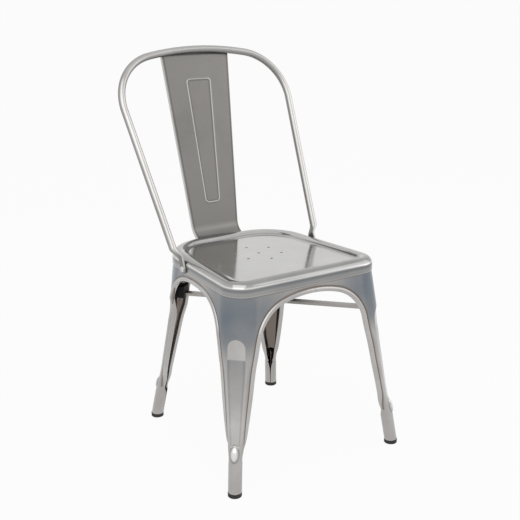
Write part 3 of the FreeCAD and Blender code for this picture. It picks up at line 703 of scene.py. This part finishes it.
def bead_points(wing):
    """Centre of the rolled edge, from its lower end to the apron's joint."""
    levels = np.linspace(BEAD_START, KNEE, BEAD_LEVELS, endpoint=False)
    points = [leg_half(wing, z, BEAD_DEPTH, 2, 2, 2)[0] for z in levels]
    normal = np.append(wing.normal, 0)
    for distance, height in wing.arch.points(0.0, wing.stop, *ARCH_STEPS):
        face = leg_side(wing, KNEE + height)[0]
        flat = face + np.append(wing.along, 0) * (wing.middle + distance - face[:2] @ wing.along)
        points.append(flat - normal * BEAD_DEPTH)
    return points


def bump_place(leg, point):
    """0 in the middle of the bump at the flute's lower end and 1 on its outline, or None far from it."""
    flat = point[:2] - leg.axis(point[2])
    if flat @ unit(leg.turn) < 0 or abs(point[2] - BUMP_Z) > 2 * BUMP_HALF_HEIGHT:
        return None
    across = flat @ unit(leg.turn + 90)
    return (across / BUMP_HALF_WIDTH) ** 2 + ((point[2] - BUMP_Z) / BUMP_HALF_HEIGHT) ** 2


BUMP_BASE = 11.0  # least distance of the bump's foot from the axis at BUMP_BASE_Z
BUMP_BASE_Z = 78.0
BUMP_BASE_LEAN = 0.14
BUMP_BASE_MOST = 12.9


def bumped(leg, point):
    """Raises the oval bump at the flute's lower end."""
    place = bump_place(leg, point)
    if place is None or place >= 1:
        return point
    e = unit(leg.turn)
    out = (point[:2] - leg.axis(point[2])) @ e
    base = min(max(out, BUMP_BASE - BUMP_BASE_LEAN * (point[2] - BUMP_BASE_Z)), BUMP_BASE_MOST)
    rise = BUMP_RISE * sqrt(1 - place)
    return point + np.append(e * (base - out + rise), 0) * min(1.0, 3 * (1 - place))


# Height, and the tone there on the corner, on the wings, in the flute and on the ribs beside it: painted
# reflections, and painted shade that darkens the legs under the seat
LEG_PAINTED_TONES = (
    (LEG_END, 0.70, 0.70, 0.70, 0.70),
    (78.0, 0.74, 0.62, 0.82, 0.74),
    (125.0, 0.78, 0.60, 0.80, 0.80),
    (190.0, 0.66, 0.52, 0.66, 0.76),
    (250.0, 0.52, 0.46, 0.54, 0.70),
    (FLUTE_STEP - 0.8, 0.44, 0.42, 0.44, 0.62),
    (FLUTE_STEP + 0.8, 0.42, 0.42, 0.78, 0.60),
    (SHOULDER - 1.5, 0.14, 0.30, 0.74, 0.20),
    (SHOULDER - 0.5, 0.14, 0.30, 0.14, 0.20),
    (360.0, 0.05, 0.22, 0.05, 0.06),
    (SKIRT_BOTTOM, 0.12, 0.30, 0.12, 0.12),
)
CREASE_PLACE = 6.6  # distance of the brown painted shade line in the crease from the centre of the rolled edge
CREASE_WIDTH = 1.7
CREASE_SHADE = 0.95
CREASE_START = 82.0  # height above which the brown painted shade line shows
SEAM_WIDTH = 1.9  # brown painted shade line of the seam under the skirt
SEAM_SHADE = 0.9
RIB_WIDTH = 12.0  # how far the rib's tone reaches onto the wing
FLUTE_EDGE = 0.3  # painted shade strip at the flute's edges, as a share of the flute's half width
FLUTE_EDGE_SHADE = 0.2
APRON_REFLECTION = 0.28  # painted lighter reflection on the aprons, away from the corner and above the shoulder
APRON_FROM = 20.0
APRON_FADE = 70.0
APRON_RISE = 40.0
TOP_TONE = 0.8  # tone of the brightest plain steel; only the bump's painted highlight is brighter
BEAD_MARK = (0.60, 0.0)
BUMP_HIGHLIGHT = 0.9
BUMP_FADE = 0.8
BUMP_OUTLINE_SHADE = 0.35  # painted shade line round the bump: how much, where and how wide
OUTLINE_PLACE = 1.1
OUTLINE_WIDTH = 0.22


def leg_tone(tones, near, away, z):
    """Painted reflection and shade tone of a point of a leg, from its number from the nearer edge and its
    distance from the ridge.
    """
    corner, wing, flute, rib = tones
    past_wing = near - LIP_STEPS - WING_STEPS
    if past_wing < 0:
        tone = mix(rib, wing, smoothstep(away / RIB_WIDTH))
        if z > KNEE:
            rise = smoothstep((z - SHOULDER) / APRON_RISE)
            tone += APRON_REFLECTION * smoothstep((away - APRON_FROM) / APRON_FADE) * rise
        return tone
    if past_wing < RIDGE_STEPS:
        return mix(rib, corner, smoothstep(past_wing / (RIDGE_STEPS - 1))) if z > SHOULDER else rib
    if z >= FLUTE_STEP:
        return flute
    depth = (past_wing - RIDGE_STEPS) / (0.5 * FLAT_STEPS)
    return flute - FLUTE_EDGE_SHADE * (1 - smoothstep(depth / FLUTE_EDGE))


def leg_brown_shade(wing, point, end, z):
    """Brown painted shade of a point of a leg, in the crease along the rolled edge and under the skirt."""
    brown_shade = SEAM_SHADE * hill(SKIRT_BOTTOM - z, SEAM_WIDTH)
    if z <= CREASE_START:
        return brown_shade
    if z < KNEE:
        distance = np.linalg.norm(point - end)
    else:
        distance = wing.arch.distance(point[:2] @ wing.along - wing.middle, z - KNEE)
    return max(brown_shade, CREASE_SHADE * hill(distance - CREASE_PLACE, CREASE_WIDTH))


def row_marks(leg, row, z):
    """Marks of the points of one row of a leg."""
    tones = smooth_table(LEG_PAINTED_TONES, z)
    joins = (row[LIP_STEPS + WING_STEPS], row[-1 - LIP_STEPS - WING_STEPS])
    marks = []
    last = len(row) - 1
    for k, point in enumerate(row):
        side = 0 if k <= last - k else 1
        away = np.linalg.norm(point - joins[side])
        tone = TOP_TONE * leg_tone(tones, min(k, last - k), away, z)
        bump = bump_place(leg, point)
        if bump is not None:
            # Painted highlight on the bump and a painted shade line round it.
            tone = mix(tone, BUMP_HIGHLIGHT, smoothstep((1.0 - bump) / BUMP_FADE))
            tone -= BUMP_OUTLINE_SHADE * hill(bump - OUTLINE_PLACE, OUTLINE_WIDTH)
        marks.append((tone, leg_brown_shade(leg.wings[side], point, row[-side], z)))
    return marks


def leg_builder(front, joint):
    """A leg whose front or rear apron ends at a distance from the middle."""
    leg = Leg(front, joint)
    build = Builder()
    rows = []
    marks = []
    for z in leg_levels():
        left, right = [leg_side(wing, z) for wing in leg.wings]
        gap = [mix(left[-1], right[-1], k / FLAT_STEPS) for k in range(1, FLAT_STEPS)]
        row = left + gap + right[::-1]
        if abs(z - BUMP_Z) < BUMP_HALF_HEIGHT:
            row = [bumped(leg, point) for point in row]
        rows.append(row)
        marks += row_marks(leg, row, z)
    build.sheet(rows, marks, INNER_SHADE_MARK)
    for wing in leg.wings:
        path = bead_points(wing)
        radii = [BEAD_RADIUS * mix(BEAD_LEAST, 1.0, smoothstep(i / BEAD_GROWTH)) for i in range(len(path))]
        start = len(build.points)
        build.tube(path, radii, BEAD_SIDES)
        build.paint_since(start, BEAD_MARK)
    return build


# Hoop

def on_hoop(x, rise):
    """Point of the hoop's leaning plane, a rise along it above the base."""
    return np.array([x, HOOP_BASE_Y + rise * sind(HOOP_LEAN), HOOP_BASE_Z + rise * cosd(HOOP_LEAN)])


hoop_shape = Basket(HOOP_HALF, -HOOP_SPREAD, HOOP_RISE, HOOP_CROWN, HOOP_CORNER)

# Width, thickness and rounding of the hoop's round sections and of its flat ends
ROUND_SIZE = (2 * HOOP_RADIUS, 2 * HOOP_RADIUS, HOOP_RADIUS)
TAB_SIZE = (TAB_WIDTH, TAB_THICK, TAB_EDGE)

# Sections of the hoop's side, corner and crown, of its flat end's tip and of its flattening, and points
# round a quarter of a section
HOOP_STEPS = (26, 34, 30)
TIP_STEPS = 14
FLATTENING_STEPS = 18
QUARTER_STEPS = 8

# Tone of the hoop on its front and back, at the top, on the sides and on the flat ends, as painted
# reflection, and how much painted shade darkens it toward its inner and outer edge
HOOP_TOP_TONE = 0.56
HOOP_SIDE_TONE = 0.70
TAB_TONE = 0.5
HOOP_EDGE_SHADE = 0.5
HOOP_SHOULDER_Z = 740.0  # height where the sides' tone ends, with the fades under it
HOOP_FADE = 60.0
TAB_FADE = 20.0


def tab_point(z):
    """Middle of the hoop's right flat end at a height, on the outside of the skirt."""
    y = HOOP_BASE_Y + (z - HOOP_BASE_Z) * tan(radians(HOOP_LEAN))
    base = back_centre + side_normal * (BACK_CORNER + 0.5 * TAB_THICK)
    skirt_y = back_centre[1] + side_normal[1] * BACK_CORNER
    return np.append(base + side_along * ((y - skirt_y) / side_along[1]), z)


def rounded_ring(centre, axis, across, width, thick, edge):
    """Section of the hoop: a rectangle with rounded corners, square to an axis."""
    through = np.cross(axis, across)
    ring = []
    for i, (sx, sy) in enumerate(((1, 1), (-1, 1), (-1, -1), (1, -1))):
        middle = centre + across * sx * (0.5 * width - edge) + through * sy * (0.5 * thick - edge)
        for t in np.linspace(0, 90, QUARTER_STEPS):
            angle = radians(90 * i + t)
            ring.append(middle + edge * (across * cos(angle) + through * sin(angle)))
    return ring


def tab_rings(eye, tab_top, axis, across):
    """Sections of the flat end, from its round tip past the bolt to its top."""
    rings = []
    for t in np.linspace(pi / 2, 0, TIP_STEPS):
        centre = eye - axis * (0.5 * TAB_WIDTH * sin(t))
        width = max(TAB_WIDTH * cos(t), TAB_TIP)
        rings.append(rounded_ring(centre, axis, across, width, TAB_THICK, TAB_EDGE))
    for share in (0.25, 0.5, 0.75):
        rings.append(rounded_ring(mix(eye, tab_top, share), axis, across, *TAB_SIZE))
    return rings


def flattening_rings(tab_top, tab_axis, tab_across, top, up):
    """Sections between the flat end and the round tube, which starts at top and runs along up."""
    normal = np.append(side_normal, 0)
    rings = []
    for share in np.linspace(1, 0, FLATTENING_STEPS):
        smooth = smoothstep(share)
        centre = mix(top, tab_top, share) + normal * (np.dot(tab_top - top, normal) * (smooth - share))
        axis = unit_vector(mix(up, tab_axis, smooth))
        across = unit_vector(tab_across - axis * np.dot(tab_across, axis))
        size = [mix(a, b, smooth) for a, b in zip(ROUND_SIZE, TAB_SIZE)]
        rings.append(rounded_ring(centre, axis, across, *size))
    return rings


def tube_rings(path):
    """Round sections along the tube, after the path's first point."""
    forward = np.array([0, -cosd(HOOP_LEAN), sind(HOOP_LEAN)])
    tangents = np.gradient(np.array(path), axis=0)
    rings = []
    for place, tangent in zip(path[1:], tangents[1:]):
        axis = unit_vector(tangent)
        across = unit_vector(np.cross(np.cross(axis, forward), axis))
        rings.append(rounded_ring(place, axis, across, *ROUND_SIZE))
    return rings


def hoop_marks(height, count):
    """Marks round one section of the hoop: painted reflection tone, with painted shade toward its edges."""
    level = HOOP_TOP_TONE if height > HOOP_SHOULDER_Z else HOOP_SIDE_TONE
    level = mix(level, HOOP_SIDE_TONE, smoothstep((HOOP_SHOULDER_Z + HOOP_FADE - height) / HOOP_FADE))
    level = mix(level, TAB_TONE, smoothstep((FLATTENING_Z - height) / TAB_FADE))
    return [(level - HOOP_EDGE_SHADE * abs(sin(2 * pi * k / count)) ** 3, 0.0) for k in range(count)]


def hoop_piece(material):
    start = (FLATTENING_Z - HOOP_BASE_Z) / cosd(HOOP_LEAN)
    path = [on_hoop(*place) for place in hoop_shape.points(start, 0.0, *HOOP_STEPS)]
    up = unit_vector(path[1] - path[0])
    tab_axis = np.append(side_along * sind(HOOP_LEAN), cosd(HOOP_LEAN))
    tab_across = np.cross(np.append(side_normal, 0), tab_axis)
    eye = tab_point(BOLT_Z)
    tab_top = eye + tab_axis * np.dot(tab_point(TAB_Z) - eye, tab_axis)
    rings = tab_rings(eye, tab_top, tab_axis, tab_across)
    rings += flattening_rings(tab_top, tab_axis, tab_across, path[0], up)
    rings += tube_rings(path)
    build = Builder()
    for first in build.grid(rings, closed_rows=True, flip=True):
        build.paint(first, hoop_marks(build.points[first][2], len(rings[0])))
    build.fan(rings[0], np.mean(rings[0], axis=0))
    build.join(build.mirrored(sx=-1))
    build.piece("BackHoop", material, ("back_hoop",), "tube_steel", 40)


# Slat

def slat_frame():
    """Directions up and back of the slat, its upper end, its bend's start and centre, the hoop's top."""
    up = np.array([0, sind(SLAT_LEAN), cosd(SLAT_LEAN)])
    back = np.array([0, cosd(SLAT_LEAN), -sind(SLAT_LEAN)])
    hoop_top = on_hoop(0, HOOP_RISE)
    top = hoop_top + back * (HOOP_RADIUS + SLAT_HOOP_GAP)
    top = top - up * ((top[2] - hoop_top[2] + SLAT_BELOW_HOOP) / up[2])
    lip = SLAT_LEAN + SLAT_BEND_ANGLE
    low = np.array([0, cosd(lip), -sind(lip)])
    drop = back * -SLAT_BEND + low * (SLAT_BEND + SHEET)
    rim = np.array([0, SEAT_BACK - RIM_ROLL, SEAT_TOP - RIM_ROLL])
    start = top + drop - rim
    reach = RIM_ROLL + SLAT_RIM_GAP
    along = start @ up
    span = sqrt(along * along - (start @ start - reach * reach))
    bend_top = top - up * (along - span)
    return up, back, top, bend_top, bend_top - back * SLAT_BEND, hoop_top[2]


# Pressed line on the slat: half widths, heights, corner radius, width and height of its swell
LINE_TOP_HALF = 31.0
LINE_BOTTOM_HALF = 18.0
LINE_TOP = 776.0
LINE_BOTTOM = 499.0
LINE_SLOPE = (LINE_TOP_HALF - LINE_BOTTOM_HALF) / (LINE_TOP - LINE_BOTTOM)
LINE_CORNER = 8.0
LINE_WIDTH = 1.428
LINE_HEIGHT = 1.1
LINE_REACH = 4.2  # half width of the band of closer columns round the line
HEM_REACH = 7.4  # width of the band of closer columns along the hem
SLAT_FOLD = 2.2  # radius of the bend of the turned-back sides
SLAT_ROWS = 400
BEND_STEPS = 20
FOLD_STEPS = 6
COLUMNS = (9, 14, 12, 8)  # from the middle to the line, across the line, to the hem and along the hem

# Tones of the slat, with painted highlights, painted shade and a painted shadow under the hoop. A light or
# dark line has its place, how much lighter or darker it is, and its width.
SLAT_TONE = 0.33
LINE_HIGHLIGHT = (0.0, 0.55, 1.2)
LINE_SHADE = (-3.0, -0.16, 1.3)
HEM_HIGHLIGHT = (0.0, 0.5, 1.2)
HEM_SHADE = (4.2, -0.2, 1.5)
HOOP_SHADE = (11.5, -SLAT_TONE, 2.0)


def line_half(z):
    """Half width of the pressed line's trapezoid at a height."""
    return LINE_BOTTOM_HALF + (z - LINE_BOTTOM) * LINE_SLOPE


def line_distance(x, z):
    """Distance outside the middle of the pressed line, a rounded trapezoid."""
    side = (abs(x) - line_half(z)) / hypot(1, LINE_SLOPE) + LINE_CORNER
    end = max(z - LINE_TOP, LINE_BOTTOM - z) + LINE_CORNER
    if side > 0 and end > 0:
        return hypot(side, end) - LINE_CORNER
    return max(side, end) - LINE_CORNER


def slat_mark(x, half, z, hoop_z):
    """Mark of a point of the slat, with painted highlight and shade lines by the pressed line and by the
    hem, and a painted shadow under the hoop.
    """
    tone = SLAT_TONE
    for distance, lines in ((line_distance(x, z), (LINE_HIGHLIGHT, LINE_SHADE)),
                            (half - abs(x), (HEM_HIGHLIGHT, HEM_SHADE)),
                            (hoop_z - z, (HOOP_SHADE,))):
        tone += sum(change * hill(distance - place, width) for place, change, width in lines)
    return (tone, 0.0)


def slat_columns(half, z):
    """Places across the right half of the slat, close together at the pressed line and the hem."""
    middle = line_half(min(max(z, LINE_BOTTOM), LINE_TOP))
    ends = (0.0, middle - LINE_REACH, middle + LINE_REACH, half - HEM_REACH, half - SLAT_FOLD)
    places = []
    for start, stop, count in zip(ends, ends[1:], COLUMNS):
        places += list(np.linspace(start, stop, count, endpoint=False))
    return places


def slat_row(place, out, hoop_z):
    """Points of one row of the slat from its left flange to its right one, with their marks."""
    z = place[2]
    half = SLAT_HALF_TOP - (hoop_z - z) * tan(radians(SLAT_TAPER))
    right = [(x, -LINE_HEIGHT * hill(line_distance(x, z), LINE_WIDTH)) for x in slat_columns(half, z)]
    for t in np.linspace(90, 0, FOLD_STEPS):
        right.append((half - SLAT_FOLD + SLAT_FOLD * cosd(t), SLAT_FOLD * (1 - sind(t))))
    right.append((half, SLAT_FLANGE))
    both = [(-x, depth) for x, depth in right[:0:-1]] + right
    row = [place + np.array([x, 0, 0]) + out * depth for x, depth in both]
    return row, [slat_mark(x, half, z, hoop_z) for x, _ in both]


def slat_piece(material):
    up, back, top, bend_top, centre, hoop_z = slat_frame()
    path = [(bend_top + up * s, back) for s in np.linspace(np.linalg.norm(top - bend_top), 0, SLAT_ROWS)]
    for angle in np.linspace(0, SLAT_BEND_ANGLE, BEND_STEPS)[1:]:
        ray = np.array([0, cosd(SLAT_LEAN + angle), -sind(SLAT_LEAN + angle)])
        path.append((centre + ray * SLAT_BEND, ray))
    rows = []
    marks = []
    for place, out in path:
        row, row_of_marks = slat_row(place, out, hoop_z)
        rows.append(row)
        marks += row_of_marks
    build = Builder()
    build.sheet(rows, marks, (SLAT_TONE, 0.0))
    build.piece("BackSlat", material, ("back_slat",), "slat_steel", 40)


# Materials

def node_material(name):
    material = bpy.data.materials.new(name)
    material.use_nodes = True
    return material, material.node_tree, material.node_tree.nodes["Principled BSDF"]


def set_sockets(tree, node, sockets):
    """Links a node's sockets to the outputs of other nodes, or gives them a fixed value."""
    for name, value in sockets.items():
        if isinstance(value, bpy.types.NodeSocket):
            tree.links.new(value, node.inputs[name])
        else:
            node.inputs[name].default_value = value


def new_output(tree, kind, sockets, output=0):
    """An output of a new node."""
    node = tree.nodes.new("ShaderNode" + kind)
    set_sockets(tree, node, sockets)
    return node.outputs[output]


def noise(tree, scale, detail, roughness=0.5):
    """Noise in object coordinates."""
    place = new_output(tree, "TexCoord", {}, "Object")
    sockets = {"Vector": place, "Scale": scale, "Detail": detail, "Roughness": roughness}
    return new_output(tree, "TexNoise", sockets, "Fac")


def remap(tree, value, low, high, to_low, to_high):
    sockets = {"Value": value, "From Min": low, "From Max": high, "To Min": to_low, "To Max": to_high}
    return new_output(tree, "MapRange", sockets)


def mix_colour(tree, factor, first, second):
    node = tree.nodes.new("ShaderNodeMix")
    node.data_type = "RGBA"
    set_sockets(tree, node, {"Factor": factor, 6: first, 7: second})
    return node.outputs[2]


def colour_ramp(tree, value, colours):
    """Colours along a value from 0 to 1, each with its place."""
    ramp = tree.nodes.new("ShaderNodeValToRGB")
    elements = ramp.color_ramp.elements
    while len(elements) < len(colours):
        elements.new(0.5)
    for index, (place, colour) in enumerate(colours):
        elements[index].position = place
        elements[index].color = (*colour, 1.0)
    tree.links.new(value, ramp.inputs["Fac"])
    return ramp.outputs["Color"]


def attribute(tree, name):
    node = tree.nodes.new("ShaderNodeAttribute")
    node.attribute_name = name
    return node.outputs["Fac"]


def plus(tree, first, second, clamp=False):
    node = tree.nodes.new("ShaderNodeMath")
    node.operation = "ADD"
    node.use_clamp = clamp
    set_sockets(tree, node, {0: first, 1: second})
    return node.outputs[0]


CLOUD_SCALE = 9.0
# brown of the painted shade in creases, under the skirt and on inner faces
BROWN = (0.15, 0.11, 0.085, 1)


def steel(name, colours, roughness, cloud_depth, marked=True):
    """Rolled steel with a cloudy tone. Marked steel also takes the tone of its points, with its painted
    reflections, highlights and shade, and their brown painted shade.
    """
    material, tree, shader = node_material(name)
    clouds = noise(tree, CLOUD_SCALE, 4.0, 0.6)
    half = 0.5 * cloud_depth
    if marked:
        value = plus(tree, attribute(tree, "tone"), remap(tree, clouds, 0.3, 0.7, -half, half))
        tone = mix_colour(tree, attribute(tree, "brown_shade"), colour_ramp(tree, value, colours), BROWN)
    else:
        tone = colour_ramp(tree, remap(tree, clouds, 0.25, 0.75, 0.5 - half, 0.5 + half), colours)
    rough = remap(tree, clouds, 0.3, 0.7, roughness * 0.8, roughness * 1.2)
    set_sockets(tree, shader, {"Base Color": tone, "Metallic": 1.0, "Roughness": rough})
    return material


def rubber(name):
    """Matt black rubber with a fine grain and slight wear."""
    material, tree, shader = node_material(name)
    speck = noise(tree, 900.0, 3.0)
    wear = remap(tree, noise(tree, 60.0, 4.0), 0.35, 0.75, 0.0, 1.0)
    tone = mix_colour(tree, wear, (0.012, 0.012, 0.013, 1), (0.035, 0.034, 0.034, 1))
    rough = remap(tree, speck, 0.3, 0.7, 0.55, 0.8)
    bump = new_output(tree, "Bump", {"Strength": 0.3, "Distance": 0.0002, "Height": speck})
    set_sockets(tree, shader, {"Base Color": tone, "Roughness": rough, "Normal": bump})
    return material


# Colours of the steels from dark to bright, each with its tone; the tones carry painted reflections and
# shade
SEAT_COLOURS = (
    (0.0, (0.13, 0.145, 0.16)),
    (0.33, (0.27, 0.27, 0.268)),
    (0.67, (0.50, 0.495, 0.485)),
    (1.0, (0.88, 0.87, 0.85)),
)
LEG_COLOURS = (
    (0.0, (0.155, 0.18, 0.21)),
    (0.27, (0.27, 0.275, 0.28)),
    (0.53, (0.40, 0.385, 0.375)),
    (0.80, (0.60, 0.59, 0.575)),
    (1.0, (0.90, 0.90, 0.89)),
)
TUBE_COLOURS = (
    (0.0, (0.17, 0.165, 0.16)),
    (0.4, (0.34, 0.335, 0.325)),
    (0.75, (0.60, 0.59, 0.575)),
    (1.0, (0.85, 0.84, 0.82)),
)
SLAT_COLOURS = (
    (0.0, (0.075, 0.07, 0.065)),
    (0.33, (0.225, 0.216, 0.208)),
    (0.67, (0.33, 0.32, 0.31)),
    (1.0, (0.80, 0.79, 0.77)),
)
BRACE_COLOURS = ((0.0, (0.30, 0.285, 0.27)), (1.0, (0.44, 0.42, 0.40)))
FASTENER_COLOURS = ((0.0, (0.46, 0.455, 0.45)), (1.0, (0.66, 0.66, 0.655)))
SEAT_STEEL = steel("SeatSteel", SEAT_COLOURS, 0.12, 0.10)
LEG_STEEL = steel("LegSteel", LEG_COLOURS, 0.24, 0.18)
TUBE_STEEL = steel("TubeSteel", TUBE_COLOURS, 0.24, 0.12)
SLAT_STEEL = steel("SlatSteel", SLAT_COLOURS, 0.30, 0.06)
BRACE_STEEL = steel("BraceSteel", BRACE_COLOURS, 0.35, 0.5, marked=False)
FASTENER_STEEL = steel("FastenerSteel", FASTENER_COLOURS, 0.25, 0.5, marked=False)
RUBBER = rubber("Rubber")


# Pieces that take the place of a plain solid

def leg_pieces(material):
    right = leg_builder(True, HALF_GAP + FRONT_JOINT_X).mirrored(1, -1)
    left = leg_builder(True, HALF_GAP - FRONT_JOINT_X).mirrored(-1, -1)
    rear = leg_builder(False, HALF_GAP)
    for name, node, build in (("FrontRightLeg", "front_right_leg", right),
                              ("FrontLeftLeg", "front_left_leg", left),
                              ("RearRightLeg", "rear_right_leg", rear),
                              ("RearLeftLeg", "rear_left_leg", rear.mirrored(-1, 1))):
        build.piece(name, material, (node,), "leg_steel", 50)


seat_piece(SEAT_STEEL)
leg_pieces(LEG_STEEL)
hoop_piece(TUBE_STEEL)
slat_piece(SLAT_STEEL)

# Plain solids that stay: how their names start, their material and its slot
PLAIN_SOLIDS = (
    (("cross_brace",), BRACE_STEEL, "brace_steel"),
    (("hoop_bolts", "hoop_washers", "hoop_nuts"), FASTENER_STEEL, "fastener_steel"),
    (("bumper", "cap"), RUBBER, "rubber"),
)
EDGE_RADIUS = 0.0008  # in metres


def dress(obj, material):
    """Gives a plain solid its material and slightly rounded edges."""
    if not obj.material_slots:
        obj.data.materials.append(material)
    for place in obj.material_slots:
        place.material = material
    bevel = obj.modifiers.new("Edges", "BEVEL")
    bevel.width = EDGE_RADIUS
    bevel.segments = 3
    bevel.limit_method = "ANGLE"
    bevel.angle_limit = radians(40)


for node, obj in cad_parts.items():
    for starts, material, slot in PLAIN_SOLIDS:
        if node.startswith(starts):
            dress(obj, material)

# Floor, world and lamps

WHITE = (1, 1, 1, 1)
FLOOR_GREY = (0.9, 0.9, 0.9, 1)
FLOOR_REACH = 200.0  # far enough to meet the white world at the horizon
FLOOR_GLOW = 0.93  # share of plain white; the rest is diffuse and takes the shadow
WORLD_LIGHT = 0.55
LAMP_AIM = (0, 0, 0.4)


def background_ray(tree):
    """1 for the rays that show the white background: camera, glossy and transmission rays."""
    rays = tree.nodes.new("ShaderNodeLightPath")
    total = rays.outputs["Is Camera Ray"]
    for name in ("Is Glossy Ray", "Is Transmission Ray"):
        total = plus(tree, total, rays.outputs[name], clamp=True)
    return total


def blend(tree, share, first, second, output):
    """Puts a blend of two shaders into the tree's output node."""
    surface = new_output(tree, "MixShader", {0: share, 1: first, 2: second})
    set_sockets(tree, tree.nodes[output], {"Surface": surface})


def floor_piece():
    mesh = bpy.data.meshes.new("Floor")
    r = FLOOR_REACH
    mesh.from_pydata([(-r, -r, 0), (r, -r, 0), (r, r, 0), (-r, r, 0)], [], [(0, 1, 2, 3)])
    floor = new_object("Floor", mesh)
    material, tree, shader = node_material("FloorWhite")
    tree.nodes.remove(shader)
    diffuse = new_output(tree, "BsdfDiffuse", {"Color": FLOOR_GREY})
    glow = new_output(tree, "Emission", {"Color": WHITE, "Strength": 1.0})
    share = remap(tree, background_ray(tree), 0.0, 1.0, 0.0, FLOOR_GLOW)
    blend(tree, share, diffuse, glow, "Material Output")
    mesh.materials.append(material)


def white_world():
    world = bpy.data.worlds.new("Studio")
    scene.world = world
    world.use_nodes = True
    tree = world.node_tree
    light = tree.nodes["Background"]
    set_sockets(tree, light, {"Color": WHITE, "Strength": WORLD_LIGHT})
    white = new_output(tree, "Background", {"Color": WHITE, "Strength": 1.0})
    blend(tree, background_ray(tree), light.outputs[0], white, "World Output")


def lamp(name, place, size, power):
    data = bpy.data.lights.new(name, "AREA")
    data.shape = "SQUARE"
    data.size = size
    data.energy = power
    obj = new_object(name, data)
    obj.location = place
    obj.rotation_euler = (Vector(LAMP_AIM) - Vector(place)).to_track_quat("-Z", "Y").to_euler()


floor_piece()
white_world()
lamp("KeyLamp", (-1.6, -1.4, 2.6), 3.0, 26)
lamp("FillLamp", (2.2, -1.2, 1.6), 2.2, 10)

# Camera

camera_data = bpy.data.cameras.new("Camera")
camera_data.lens = LENS
camera_data.sensor_width = SENSOR
camera_data.clip_end = 1000
camera = new_object("Camera", camera_data)
camera.location = in_frame(*CAMERA)
camera.rotation_euler = Euler((radians(90 - CAMERA_ELEVATION), 0, radians(CAMERA_AZIMUTH)))
scene.camera = camera

scene.view_settings.view_transform = "Standard"
